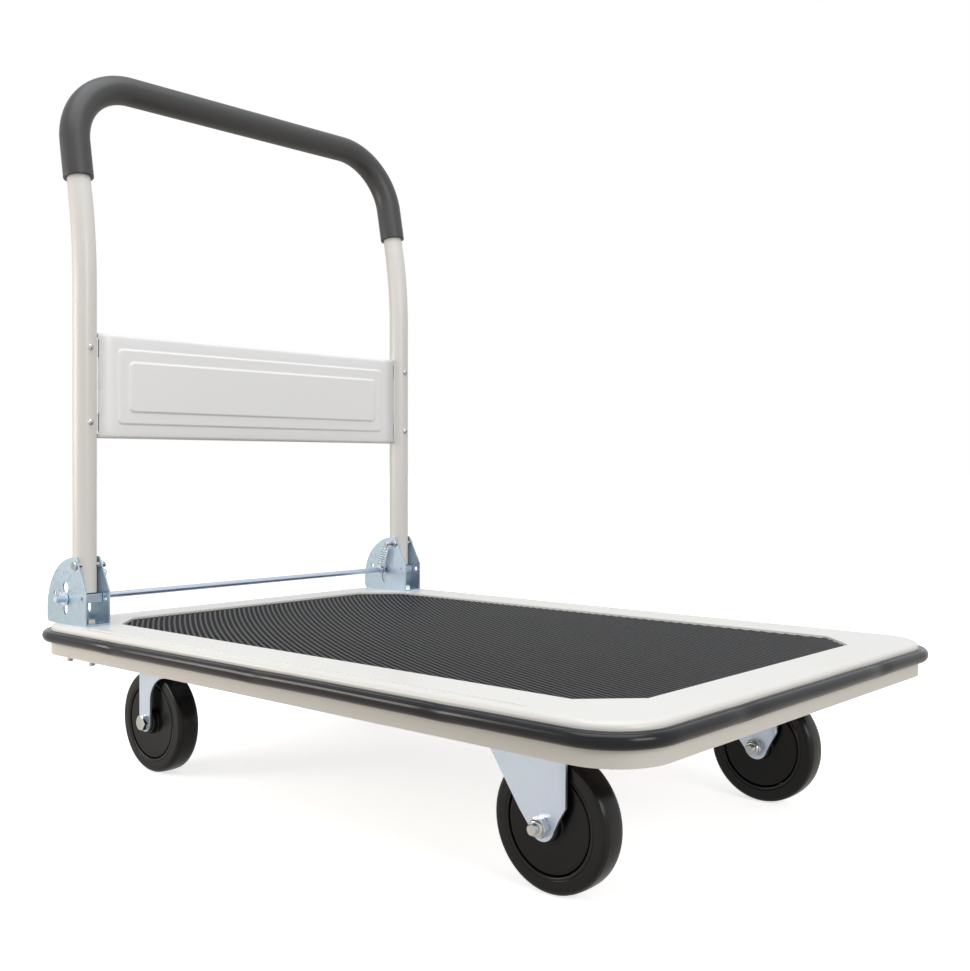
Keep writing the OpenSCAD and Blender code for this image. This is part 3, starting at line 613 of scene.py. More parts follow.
def make_materials(colours):
    for build in (fine_grain_group, edge_wear_group, dust_group, plating_group):
        build()
    paint, panel = tuple(colours.paint), tuple(colours.panel)
    primer = (0.5, 0.49, 0.46)
    zinc = tuple(colours.zinc)
    # Darker copy of the zinc plate for the hinge brackets: painted shade on the same plating that the
    # forks have.
    blue = tuple(c * s for c, s in zip(zinc, (0.72, 0.79, 0.78)))

    def shaded(colour, amounts):
        return tuple(c * a for c, a in zip(colour, amounts))

    def zinc_plate(name, colour, scale):
        return plated(name, colour, shaded(colour, (1.02, 0.98, 1.03)),
                      shaded(colour, (0.95, 1.0, 0.97)), scale, (0.85, 0.87, 0.9))

    return {
        "deck paint": powder_coat("Deck powder coat", paint, shaded(paint, (0.97, 0.965, 0.95)),
                                  primer),
        "handle paint": powder_coat("Handle powder coat", shaded(paint, (0.99, 0.985, 0.99)),
                                    shaded(paint, (0.96, 0.955, 0.95)), primer),
        "panel paint": powder_coat("Panel powder coat", panel, shaded(panel, (0.98, 0.98, 0.98)),
                                   primer),
        "mat": rubber("Mat rubber", tuple(colours.mat), (0.02, 0.02, 0.021), 0.65, 1500.0,
                      0.00003, 0.08, 0.05),
        # Mat rib material: a lighter grey than the mat, a painted highlight for the light the rib
        # tops catch. Its dust film on the up-facing tops is lighter still, so it is dust and painted
        # highlight together.
        "rib": rubber("Mat rib highlight", tuple(colours.rib), (0.11, 0.11, 0.112), 0.5, 1500.0,
                      0.00003, 0.25, 0.08),
        "bumper": rubber("Bumper rubber", tuple(colours.bumper), (0.05, 0.054, 0.065), 0.2, 700.0,
                         0.000008, 0.06, 0.32),
        "grip": rubber("Grip sleeve", tuple(colours.grip), (0.1, 0.1, 0.1), 0.4, 1800.0,
                       0.00005, 0.1, 0.5),
        "tyre": rubber("Tyre rubber", (0.007, 0.007, 0.0075), (0.02, 0.02, 0.022), 0.22, 500.0,
                       0.000006, 0.05, 0.3),
        "hub": rubber("Hub plastic", (0.006, 0.006, 0.0065), (0.015, 0.015, 0.016), 0.24, 350.0,
                      0.000004, 0.03, 0.25),
        "zinc": zinc_plate("Zinc plate", zinc, 24.0),
        # Painted shade: the brackets' darker copy of the same zinc plate.
        "zinc in painted shade": zinc_plate("Zinc plate in painted shade", blue, 18.0),
        "bright": plated("Bright fasteners", (0.56, 0.57, 0.58), (0.62, 0.61, 0.62),
                         (0.5, 0.53, 0.52), 60.0, (0.85, 0.85, 0.85), 1.0, 0.45),
        "spring": plated("Spring wire", (0.66, 0.69, 0.72), (0.7, 0.7, 0.76), (0.62, 0.66, 0.66),
                         90.0, (0.85, 0.85, 0.87), 1.0, 0.6),
        "balls": plated("Ball steel", (0.7, 0.7, 0.71), (0.7, 0.7, 0.72), (0.68, 0.69, 0.69),
                        60.0, (0.9, 0.9, 0.9), 1.0),
    }


MATERIALS = {}


# ---- Settings a user would change ----


class CartSizes(bpy.types.PropertyGroup):
    handle_lean: bpy.props.FloatProperty(
        name="Handle lean", description="Angle by which the handle's top leans back",
        default=math.radians(10.5), subtype="ANGLE",
    )
    bend_drop: bpy.props.FloatProperty(
        name="Bend below the grip", description="Height of the lean's bend below the grip's top",
        default=0.226, unit="LENGTH",
    )
    bend_radius: bpy.props.FloatProperty(
        name="Bend radius", description="Bending radius where the legs start to lean",
        default=0.64, unit="LENGTH",
    )
    corner_radius: bpy.props.FloatProperty(
        name="Handle corner radius", description="Bending radius of the handle's top corners",
        default=0.086, unit="LENGTH",
    )
    tube_radius: bpy.props.FloatProperty(
        name="Tube radius", description="Outside radius of the handle's legs",
        default=0.0143, unit="LENGTH",
    )
    draw_down: bpy.props.FloatProperty(
        name="Draw down", description="How much thinner the tube is above its bends",
        default=0.0002, unit="LENGTH",
    )
    grip_radius: bpy.props.FloatProperty(
        name="Grip radius", description="Outside radius of the grip sleeve",
        default=0.0183, unit="LENGTH",
    )
    grip_tail: bpy.props.FloatProperty(
        name="Grip tail", description="How far the grip runs down the legs below the corners",
        default=0.048, unit="LENGTH",
    )
    rib_pitch: bpy.props.FloatProperty(
        name="Rib pitch", description="Distance from one rib of the mat to the next",
        default=0.0064, unit="LENGTH",
    )
    rib_width: bpy.props.FloatProperty(
        name="Rib width", description="Width of a rib at its foot",
        default=0.0026, unit="LENGTH",
    )
    rib_height: bpy.props.FloatProperty(
        name="Rib height", description="Height of the ribs above the mat",
        default=0.0008, unit="LENGTH",
    )
    mat_cut: bpy.props.FloatProperty(
        name="Mat corner cut", description="Length cut off each corner of the mat",
        default=0.045, unit="LENGTH",
    )
    edge_break: bpy.props.FloatProperty(
        name="Broken edges", description="Width of the broken edges on pressed steel",
        default=0.0005, unit="LENGTH",
    )
    bumper_wave: bpy.props.FloatProperty(
        name="Bumper wave", description="How far the bumper strip sags between its fixings",
        default=0.0011, unit="LENGTH",
    )
    spring_wire: bpy.props.FloatProperty(
        name="Spring wire", description="Diameter of the spring wire",
        default=0.0016, unit="LENGTH",
    )


class CartColours(bpy.types.PropertyGroup):
    paint: bpy.props.FloatVectorProperty(
        name="Powder coat", description="Colour of the painted steel",
        default=(0.765, 0.752, 0.728), size=3, subtype="COLOR", min=0, max=1,
    )
    panel: bpy.props.FloatVectorProperty(
        name="Panel powder coat", description="Colour of the painted panel between the legs",
        default=(0.93, 0.93, 0.945), size=3, subtype="COLOR", min=0, max=1,
    )
    mat: bpy.props.FloatVectorProperty(
        name="Mat", description="Colour of the ribbed mat",
        default=(0.006, 0.006, 0.0065), size=3, subtype="COLOR", min=0, max=1,
    )
    # The rib colour is lighter than the mat: a painted highlight on the ribs.
    rib: bpy.props.FloatVectorProperty(
        name="Mat rib highlight", description="Colour of the mat's ribs, lighter than the mat as a painted highlight",
        default=(0.068, 0.068, 0.07), size=3, subtype="COLOR", min=0, max=1,
    )
    bumper: bpy.props.FloatVectorProperty(
        name="Bumper", description="Colour of the bumper strip",
        default=(0.008, 0.0085, 0.011), size=3, subtype="COLOR", min=0, max=1,
    )
    grip: bpy.props.FloatVectorProperty(
        name="Grip", description="Colour of the grip sleeve",
        default=(0.048, 0.048, 0.049), size=3, subtype="COLOR", min=0, max=1,
    )
    zinc: bpy.props.FloatVectorProperty(
        name="Zinc plate", description="Colour of the zinc plated steel",
        default=(0.62, 0.70, 0.82), size=3, subtype="COLOR", min=0, max=1,
    )


# ---- Deck ----


class CART_OT_deck(bpy.types.Operator):
    """Pressed deck with its bearers, stringers and bracket supports"""

    bl_idname = "cart.deck"
    bl_label = "Build the deck"

    def execute(self, context):
        sizes = context.scene.cart_sizes
        softened("deck_shell", sizes.edge_break, MATERIALS["deck paint"], "deck_pressing")
        for node in ("bearer_front", "bearer_rear", "stringer_left", "stringer_right",
                     "bracket_support_left", "bracket_support_right"):
            softened(node, sizes.edge_break, MATERIALS["deck paint"])
        return {"FINISHED"}


def mat_outline(grow, cut):
    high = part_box("deck_mat")[1]
    x, y = high.x + grow, high.y + grow
    c = cut + grow * (2 - math.sqrt(2))
    return [Vector(p) for p in (
        (x, c - y), (x, y - c), (x - c, y), (c - x, y),
        (-x, y - c), (-x, c - y), (c - x, -y), (x - c, -y),
    )]


def inside_mat(x, y, half_x, half_y, cut):
    return (abs(x) < half_x and abs(y) < half_y
            and abs(x) + abs(y) < half_x + half_y - cut)


def rib_span(radius, centre, half_x, half_y, cut):
    """First and last angle at which an arc of this radius is over the mat."""
    low, high = math.radians(200), math.radians(280)
    steps = 1600
    angles = [low + (high - low) * k / steps for k in range(steps + 1)]
    over = [a for a in angles if inside_mat(centre[0] + radius * math.cos(a),
                                            centre[1] + radius * math.sin(a),
                                            half_x, half_y, cut)]
    if len(over) < 2:
        return None
    ends = []
    for edge, beyond in ((over[0], -1), (over[-1], 1)):
        inner, outer = edge, edge + beyond * (high - low) / steps
        for _ in range(12):
            mid = (inner + outer) / 2
            if inside_mat(centre[0] + radius * math.cos(mid),
                          centre[1] + radius * math.sin(mid), half_x, half_y, cut):
                inner = mid
            else:
                outer = mid
        ends.append(inner)
    return ends


class CART_OT_mat(bpy.types.Operator):
    """Ribbed rubber mat let into the deck"""

    bl_idname = "cart.mat"
    bl_label = "Build the mat"

    def execute(self, context):
        sizes = context.scene.cart_sizes
        low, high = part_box("deck_mat")
        base_top = high.z - sizes.rib_height
        bm = bmesh.new()
        lip = 0.6 * MM
        layers = [
            (0.0, low.z), (0.0, base_top - lip), (-lip * 0.3, base_top - lip * 0.3), (-lip, base_top),
        ]
        rings = []
        for grow, z in layers:
            rings.append([bm.verts.new((p.x, p.y, z)) for p in mat_outline(grow, sizes.mat_cut)])
        for one, two in zip(rings, rings[1:]):
            walled(bm, one, two)
        bm.faces.new(rings[0])
        bm.faces.new(rings[-1])
        centre = RIB_CENTRE
        near = math.dist(centre, (high.x, high.y))
        far = math.dist(centre, (low.x, low.y))
        half = sizes.rib_width / 2
        section = [(-1.0, -0.1), (-0.86, 0.5), (-0.62, 0.86), (-0.25, 1.0),
                   (0.25, 1.0), (0.62, 0.86), (0.86, 0.5), (1.0, -0.1)]
        radius = near - sizes.rib_pitch
        margin = 0.7 * MM
        while radius < far:
            span = rib_span(radius, centre, high.x - margin, high.y - margin, sizes.mat_cut)
            if span and (span[1] - span[0]) * radius > 4 * MM:
                count = max(2, round((span[1] - span[0]) * radius / RIB_STEP))
                rings = []
                for k in range(count + 1):
                    turn = span[0] + (span[1] - span[0]) * k / count
                    way = Vector((math.cos(turn), math.sin(turn)))
                    ring = []
                    for out, up in section:
                        r = radius + out * half
                        ring.append(bm.verts.new((
                            centre[0] + way.x * r, centre[1] + way.y * r,
                            base_top + up * sizes.rib_height,
                        )))
                    rings.append(ring)
                # The rib's sides, top and ends take the lighter rib material, a painted highlight.
                # Its foot keeps the mat's material.
                for one, two in zip(rings, rings[1:]):
                    for j in range(len(one) - 1):
                        rib = bm.faces.new((one[j], one[j + 1], two[j + 1], two[j]))
                        rib.material_index = 1
                    bm.faces.new((one[-1], one[0], two[0], two[-1]))
                for ring in (rings[0], rings[-1]):
                    bm.faces.new(ring).material_index = 1
            radius += sizes.rib_pitch
        mat = piece("ribbed_mat", bm, "chassis", MATERIALS["mat"], ["deck_mat"], 50)
        # Second slot: the lighter rib material, a painted highlight.
        mat.data.materials.append(MATERIALS["rib"])
        return {"FINISHED"}


class CART_OT_bumper(bpy.types.Operator):
    """Rubber bumper strip round the deck's skirt"""

    bl_idname = "cart.bumper"
    bl_label = "Build the bumper"

    def execute(self, context):
        wave = context.scene.cart_sizes.bumper_wave
        low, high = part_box("bumper")
        deck_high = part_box("deck_shell")[1]
        reach = high.x - deck_high.x
        height = high.z - low.z
        outline = rounded_outline(deck_high.x, deck_high.y, DECK_CORNER, 8 * MM, 20)
        profile = [
            (0.0, 0.0), (0.12, 0.005), (0.45, 0.02), (0.72, 0.1), (0.9, 0.24), (0.985, 0.4),
            (1.0, 0.55), (0.97, 0.7), (0.88, 0.83), (0.74, 0.92), (0.6, 0.965), (0.5, 0.975),
            (0.44, 0.93), (0.37, 0.93), (0.32, 0.985), (0.2, 1.0), (0.0, 1.0),
        ]
        fixings_x = (-0.257, 0.0, 0.257)
        fixings_y = (-0.137, 0.137)
        pinch_reach = 17 * MM

        def pinch(point):
            on_end = abs(abs(point.x) - deck_high.x) < 2 * MM
            spots = fixings_y if on_end else fixings_x
            along = point.y if on_end else point.x
            near = min(abs(along - s) for s in spots)
            return math.exp(-(near / pinch_reach) ** 2)

        def section_at(index):
            point = outline[index][0]
            pull = pinch(point)
            drift = noise.noise(Vector((point.x * 9, point.y * 9, 3.0)))
            made = []
            for out, up in profile:
                sag = wave * (pull + 0.6 * drift) * (0.3 + 0.7 * out)
                thin = 1 - 0.16 * pull - 0.06 * max(0.0, drift)
                made.append((reach * out * thin, low.z + height * up - sag))
            return made

        bm = bmesh.new()
        carried_round(bm, section_at, outline)
        piece("bumper_strip", bm, "chassis", MATERIALS["bumper"], ["bumper"], 60)
        return {"FINISHED"}


# ---- Handle ----


def handle_geometry(sizes):
    """Where the legs stand, where they bend and how far the cross bar is."""
    low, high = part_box("handle_tube")
    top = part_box("handle_grip")[1].z
    leg_x = high.x - sizes.tube_radius
    leg_y = high.y - sizes.tube_radius
    reach = sizes.bend_radius * math.tan(sizes.handle_lean / 2)
    bend_low = top - sizes.bend_drop - reach
    bar = (sizes.bend_drop - sizes.grip_radius) / math.cos(sizes.handle_lean) - reach
    return leg_x, leg_y, low.z, bend_low, bar


def leaning_point(sizes, leg_x, bend_low, y, along):
    """A point of the handle's leaning part, from its distance beyond the bend."""
    lean, radius = sizes.handle_lean, sizes.bend_radius
    return Vector((
        leg_x - radius + radius * math.cos(lean) - along * math.sin(lean),
        y,
        bend_low + radius * math.sin(lean) + along * math.cos(lean),
    ))


def hoop_path(sizes, tail_from):
    """Centre line over the top: tail, corner, bar, corner and tail."""
    leg_x, leg_y, _, bend_low, bar = handle_geometry(sizes)
    corner = sizes.corner_radius
    corner_low = bar - corner
    half = []
    tail_steps = max(3, round((corner_low - tail_from) / 0.012))
    for k in range(tail_steps):
        half.append((leg_y, tail_from + (corner_low - tail_from) * k / tail_steps))
    for k in range(25):
        turn = math.pi / 2 * k / 24
        half.append((leg_y - corner + corner * math.cos(turn), corner_low + corner * math.sin(turn)))
    bar_steps = 12
    inner = leg_y - corner
    across = [(inner - 2 * inner * k / bar_steps, bar) for k in range(1, bar_steps)]
    every = half + across + [(-y, along) for y, along in reversed(half)]
    return [leaning_point(sizes, leg_x, bend_low, y, along) for y, along in every]


class CART_OT_handle(bpy.types.Operator):
    """Bent handle tube with its grip sleeve"""

    bl_idname = "cart.handle"
    bl_label = "Build the handle"

    def execute(self, context):
        sizes = context.scene.cart_sizes
        leg_x, leg_y, leg_low, bend_low, bar = handle_geometry(sizes)
        legs = []
        for side in (1, -1):
            path = [Vector((leg_x, side * leg_y, leg_low + (bend_low - leg_low) * k / 12))
                    for k in range(12)]
            for k in range(17):
                turn = sizes.handle_lean * k / 16
                path.append(Vector((
                    leg_x - sizes.bend_radius + sizes.bend_radius * math.cos(turn),
                    side * leg_y, bend_low + sizes.bend_radius * math.sin(turn),
                )))
            legs.append(path)
        hoop = hoop_path(sizes, 3 * MM)
        path = legs[0] + hoop + list(reversed(legs[1]))
        thin = sizes.tube_radius - sizes.draw_down
        radii = [sizes.tube_radius] * len(legs[0]) + [thin] * len(hoop)
        radii += [sizes.tube_radius] * len(legs[1])
        bm = bmesh.new()
        rings = swept(bm, path, radii, 48)
        bore = 1.5 * MM
        for ring, point in ((rings[0], path[0]), (rings[-1], path[-1])):
            inward = [bm.verts.new(point + (v.co - point) * (1 - bore / sizes.tube_radius))
                      for v in ring]
            deep = [bm.verts.new(v.co + Z_AXIS * 0.04) for v in inward]
            for j in range(len(ring)):
                nxt = (j + 1) % len(ring)
                bm.faces.new((ring[j], ring[nxt], inward[nxt], inward[j]))
                bm.faces.new((inward[j], inward[nxt], deep[nxt], deep[j]))
            bm.faces.new(deep)
        piece("handle_bent_tube", bm, "handle", MATERIALS["handle paint"],
              ["handle_tube"], 40)

        tail = bar - sizes.corner_radius - sizes.grip_tail
        path = hoop_path(sizes, tail)
        radius = sizes.grip_radius
        ends = [(thin + 0.1 * MM, 1.4 * MM), (thin + 0.5 * MM, 0.6 * MM), (radius - 1.6 * MM, 0.0),
                (radius - 0.6 * MM, 0.25 * MM), (radius - 0.12 * MM, 0.9 * MM), (radius, 2.0 * MM)]
        first_way = (path[1] - path[0]).normalized()
        last_way = (path[-2] - path[-1]).normalized()
        start = [path[0] + first_way * along for _, along in ends]
        finish = [path[-1] + last_way * along for _, along in reversed(ends)]
        bm = bmesh.new()
        rows = [r for r, _ in ends]
        rings = grip_rings(bm, start, first_way, rows)
        middle_rings = swept(bm, path[1:-1], radius, 56)
        end_rings = grip_rings(bm, finish, -last_way, list(reversed(rows)))
        joined(bm, rings[-1], middle_rings[0])
        joined(bm, middle_rings[-1], end_rings[0])
        piece("grip_sleeve", bm, "handle", MATERIALS["grip"], ["handle_grip"], 50)
        return {"FINISHED"}


def grip_rings(bm, centres, way, radii, segments=56):
    """Rings that share one direction, for the rounded end of the grip."""
    normal = way.orthogonal().normalized()
    across = way.cross(normal)
    rings = []
    for centre, radius in zip(centres, radii):
        ring = []
        for j in range(segments):
            turn = 2 * math.pi * j / segments
            ring.append(bm.verts.new(
                centre + (normal * math.cos(turn) + across * math.sin(turn)) * radius
            ))
        rings.append(ring)
    for one, two in zip(rings, rings[1:]):
        joined(bm, one, two)
    return rings


def joined(bm, one, two):
    """Bridges two rings, starting from the pair of points that are nearest."""
    size = len(one)
    shift = min(range(size), key=lambda k: (two[k].co - one[0].co).length)
    forward = (two[(shift + 1) % size].co - one[1].co).length
    backward = (two[(shift - 1) % size].co - one[1].co).length
    way = 1 if forward <= backward else -1
    for j in range(size):
        nxt = (j + 1) % size
        bm.faces.new((one[j], one[nxt], two[(shift + way * nxt) % size],
                      two[(shift + way * j) % size]))


def rectangle_distance(y, z, half_y, half_z, corner):
    """Distance outside a rectangle with round corners; negative inside it."""
    dy = abs(y) - (half_y - corner)
    dz = abs(z) - (half_z - corner)
    outside = math.hypot(max(dy, 0.0), max(dz, 0.0))
    return outside + min(max(dy, dz), 0.0) - corner


def grid_lines(limit, steps):
    """Coordinates that crowd together where a pressing steps up."""
    lines = {0.0, limit}
    for place, reach in steps:
        for k in range(-4, 5):
            spot = place + k * reach
            if 0 < spot < limit:
                lines.add(round(spot, 6))
    ordered = sorted(lines)
    full = []
    for one, two in zip(ordered, ordered[1:]):
        gaps = max(1, round((two - one) / 0.02))
        full += [one + (two - one) * k / gaps for k in range(gaps)]
    full.append(limit)
    return sorted({round(v, 6) for v in full} | {round(-v, 6) for v in full})


class CART_OT_panel(bpy.types.Operator):
    """Pressed sheet panel between the legs, with rolled edges, and its screws"""

    bl_idname = "cart.panel"
    bl_label = "Build the panel"

    def execute(self, context):
        sizes = context.scene.cart_sizes
        low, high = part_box("handle_panel")
        leg_y = handle_geometry(sizes)[1]
        step, sheet, roll = 1.5 * MM, 1.2 * MM, 4.5 * MM
        face = low.x + 2 * roll
        half_y = leg_y - sizes.tube_radius - 1 * MM
        half_z = (high.z - low.z) / 2
        mid_z = (high.z + low.z) / 2
        outer = (half_y - 28 * MM, half_z - 18.5 * MM)
        inner = (outer[0] - 15 * MM, outer[1] - 15.5 * MM)
        ramp, corner = 1.6 * MM, 6 * MM
        lines_y = grid_lines(half_y, [(outer[0], 0.8 * MM), (inner[0], 0.8 * MM),
                                      (outer[0] - corner, 1.6 * MM), (inner[0] - corner, 1.6 * MM)])
        flat_z = half_z - roll
        lines_z = grid_lines(flat_z, [(outer[1], 0.8 * MM), (inner[1], 0.8 * MM),
                                      (outer[1] - corner, 1.6 * MM), (inner[1] - corner, 1.6 * MM)])

        def pressed(y, z):
            rise = 0.0
            for size in (outer, inner):
                away = rectangle_distance(y, z, size[0], size[1], corner)
                rise += step * smooth_step(0.5 - away / (2 * ramp))
            return rise

        rows = []
        turns = [190, 165, 140, 115, 90, 65, 40, 20]
        rows += [("roll", -1, math.radians(turn)) for turn in turns]
        rows += [("flat", z, 0) for z in lines_z]
        rows += [("roll", 1, math.radians(turn)) for turn in reversed(turns)]
        bm = bmesh.new()
        grid = []
        for kind, value, angle in rows:
            line = []
            for y in lines_y:
                if kind == "flat":
                    spot = (face + pressed(y, value), y, mid_z + value)
                else:
                    spot = (face - roll + roll * math.cos(angle), y,
                            mid_z + value * (flat_z + roll * math.sin(angle)))
                line.append(bm.verts.new(spot))
            grid.append(line)
        for one, two in zip(grid, grid[1:]):
            for j in range(len(one) - 1):
                bm.faces.new((one[j], one[j + 1], two[j + 1], two[j]))
        sheet_obj = piece("pressed_panel", bm, "handle", MATERIALS["panel paint"],
                          ["handle_panel"], 60)
        solid = sheet_obj.modifiers.new("Sheet", "SOLIDIFY")
        solid.thickness = sheet
        solid.offset = -1
        outward = sheet_obj.data.polygons[len(sheet_obj.data.polygons) // 2].normal.x
        if outward < 0:
            sheet_obj.data.flip_normals()

        bm = bmesh.new()
        rise = half_z - 19.5 * MM
        for side in (1, -1):
            for up in (-rise, rise):
                tongue(bm, face - sheet, sheet, side * (half_y - 1 * MM), side * high.y,
                       mid_z + up, 11 * MM)
        piece("panel_tongues", bm, "handle", MATERIALS["panel paint"], (), 40)

        bm = bmesh.new()
        for points in islands("panel_screws"):
            centre = sum(points, Vector()) / len(points)
            front = max(p.x for p in points)
            cross_head(bm, Vector((front, side_y(centre.y, leg_y), centre_z(points))), 3.9 * MM,
                       2.4 * MM)
        piece("panel_cross_screws", bm, "handle", MATERIALS["bright"],
              ["panel_screws"], 40)
        return {"FINISHED"}


def side_y(y, leg_y):
    return leg_y if y > 0 else -leg_y


def centre_z(points):
    return (min(p.z for p in points) + max(p.z for p in points)) / 2


def tongue(bm, x, thick, y_from, y_to, z, half):
    """A flat tongue of the panel, with cut corners, that enters the leg's slot."""
    way = 1 if y_to > y_from else -1
    cut = 3 * MM
    outline = [(y_from, z - half), (y_to - way * cut, z - half), (y_to, z - half + cut),
               (y_to, z + half - cut), (y_to - way * cut, z + half), (y_from, z + half)]
    back = [bm.verts.new((x, y, h)) for y, h in outline]
    front = [bm.verts.new((x + thick, y, h)) for y, h in outline]
    bm.faces.new(back)
    bm.faces.new(front)
    walled(bm, back, front)


def cross_head(bm, crown, radius, height):
    """A domed screw head facing +X with a cross recess."""
    rings, segments = [], 48
    levels = [(1.0, 0.0), (0.98, 0.25), (0.9, 0.55), (0.78, 0.78), (0.62, 0.92), (0.5, 0.97),
              (0.4, 0.985), (0.3, 0.995), (0.2, 1.0), (0.1, 1.0)]
    for share, up in levels:
        ring = []
        for j in range(segments):
            turn = 2 * math.pi * j / segments
            y, z = math.cos(turn) * radius * share, math.sin(turn) * radius * share
            deep = 0.0
            if share < 0.6 and min(abs(y), abs(z)) < radius * 0.13:
                deep = height * 0.45
            ring.append(bm.verts.new(crown + Vector((height * (up - 1) - deep, y, z))))
        rings.append(ring)
    tip = bm.verts.new(crown + Vector((-height * 0.6, 0, 0)))
    for one, two in zip(rings, rings[1:]):
        walled(bm, one, two)
    for j in range(segments):
        bm.faces.new((rings[-1][j], rings[-1][(j + 1) % segments], tip))
    bm.faces.new(rings[0])


# ---- Hinge brackets and release ----


class CART_OT_brackets(bpy.types.Operator):
    """Hinge brackets with their pivots, studs, bolts and nuts"""

    bl_idname = "cart.brackets"
    bl_label = "Build the hinge brackets"

    def execute(self, context):
        sizes = context.scene.cart_sizes
        for side, _ in SIDES:
            # The brackets take the darker zinc copy, which paints their shade.
            softened("hinge_bracket_" + side, sizes.edge_break, MATERIALS["zinc in painted shade"])
        softened("pivot_pins", 0.9 * MM, MATERIALS["bright"], segments=3)
        softened("spring_studs", 0.4 * MM, MATERIALS["bright"])
        bolts("bracket_bolts", Z_AXIS, 1.25 * MM, "bracket_hex_bolts", MATERIALS["bright"], 0.03)
        nuts("bracket_nuts", Z_AXIS, "bracket_hex_nuts", MATERIALS["bright"], 4.05 * MM)
        return {"FINISHED"}


class CART_OT_release(bpy.types.Operator):
    """Foot rod with its lock plates, spring collars, washers and split pins"""

    bl_idname = "cart.release"
    bl_label = "Build the release rod"

    def execute(self, context):
        low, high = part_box("release_rod")
        centre = (low + high) / 2
        radius = (high.z - low.z) / 2
        end, chamfer = high.y, 0.9 * MM
        bm = bmesh.new()
        profile = [(0.0, -end), (radius - chamfer, -end), (radius, -end + chamfer)]
        steps = 24
        for k in range(1, steps):
            profile.append((radius, -end + chamfer + 2 * (end - chamfer) * k / steps))
        profile += [(radius, end - chamfer), (radius - chamfer, end), (0.0, end)]
        turned(bm, profile, centre, Y_AXIS, 40)
        piece("foot_rod", bm, "release", MATERIALS["zinc"], ["release_rod"], 40)
        softened("lock_plate_left", 0.4 * MM, MATERIALS["zinc"])
        softened("lock_plate_right", 0.4 * MM, MATERIALS["zinc"])
        softened("spring_collars", 0.35 * MM, MATERIALS["zinc"])
        softened("rod_washers", 0.3 * MM, MATERIALS["zinc"])
        bm = bmesh.new()
        pin_low, pin_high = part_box("rod_cotters")
        wire = 0.55 * MM
        for side in (1, -1):
            y = side * (pin_high.y - 4.1 * MM)
            ring = 3.3 * MM
            ring_z = pin_high.z - ring - wire - 0.1 * MM
            path = [Vector((centre.x, y + 1.5 * MM, pin_low.z + 0.2 * MM)),
                    Vector((centre.x, y + 0.75 * MM, pin_low.z + 3 * MM)),
                    Vector((centre.x, y + 0.62 * MM, centre.z)),
                    Vector((centre.x, y + 0.62 * MM, ring_z - ring))]
            for k in range(21):
                turn = math.radians(-78 + 336 * k / 20)
                path.append(Vector((centre.x, y + ring * math.cos(turn),
                                    ring_z + ring * math.sin(turn))))
            path += [Vector((centre.x, y - 0.62 * MM, ring_z - ring)),
                     Vector((centre.x, y - 0.62 * MM, centre.z)),
                     Vector((centre.x, y - 0.75 * MM, pin_low.z + 3 * MM)),
                     Vector((centre.x, y - 1.9 * MM, pin_low.z + 0.8 * MM))]
            rings = swept(bm, path, wire, 10)
            bm.faces.new(rings[0])
            bm.faces.new(rings[-1])
        piece("split_pins", bm, "release", MATERIALS["bright"], ["rod_cotters"], 60)
        return {"FINISHED"}


def spring_path(top, foot, wire, ring, high_eye, low_eye):
    """Wire of an extension spring: an eye round the stud, coils, an eye round the rod."""
    down = (foot - top).normalized()
    side = down.cross(Y_AXIS).normalized()
    path = []
    for k in range(25):
        turn = math.radians(-315 + 315 * k / 24)
        path.append(top + (down * math.cos(turn) + side * math.sin(turn)) * high_eye)
    start = high_eye + 1.6 * wire
    length = (foot - top).length - start - low_eye - 1.3 * wire
    turns = round(length / (2.3 * wire))
    per_turn, ease = 20, 12
    total = turns * per_turn
    for k in range(total + 1):
        turn = math.radians(60) + 2 * math.pi * k / per_turn
        grow = smooth_step(min(1.0, (k + 2) / ease, (total - k + 2) / ease))
        radius = ring * grow
        path.append(top + down * (start + length * k / total)
                    + side * math.sin(turn) * radius + Y_AXIS * math.cos(turn) * radius)
    for k in range(25):
        turn = math.radians(315 * k / 24)
        path.append(foot + (side * math.sin(turn) - down * math.cos(turn)) * low_eye)
    return path


class CART_OT_springs(bpy.types.Operator):
    """Coiled return springs between the brackets and the foot rod"""

    bl_idname = "cart.springs"
    bl_label = "Build the springs"

    def execute(self, context):
        wire = context.scene.cart_sizes.spring_wire
        gap = 0.3 * MM
        rod_low, rod_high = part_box("release_rod")
        rod = (rod_low + rod_high) / 2
        rod_radius = (rod_high.z - rod_low.z) / 2
        stud_radius = 2 * MM
        for side, _ in SIDES:
            node = "spring_" + side
            low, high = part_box(node)
            y = (low.y + high.y) / 2
            stud = min((sum(p, Vector()) / len(p) for p in islands("spring_studs")),
                       key=lambda spot: abs(spot.y - y))
            top = Vector((stud.x, y, high.z - stud_radius - gap - wire))
            foot = Vector((rod.x, y, rod.z))
            high_eye = stud_radius + gap + wire / 2
            low_eye = rod_radius + gap + wire / 2
            path = spring_path(top, foot, wire, (high.y - low.y - wire) / 2, high_eye, low_eye)
            bm = bmesh.new()
            rings = swept(bm, path, wire / 2, 10)
            bm.faces.new(rings[0])
            bm.faces.new(rings[-1])
            obj = piece("coil_" + side, bm, None, MATERIALS["spring"], [node], 70)
            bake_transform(obj)
        return {"FINISHED"}


# ---- Casters ----


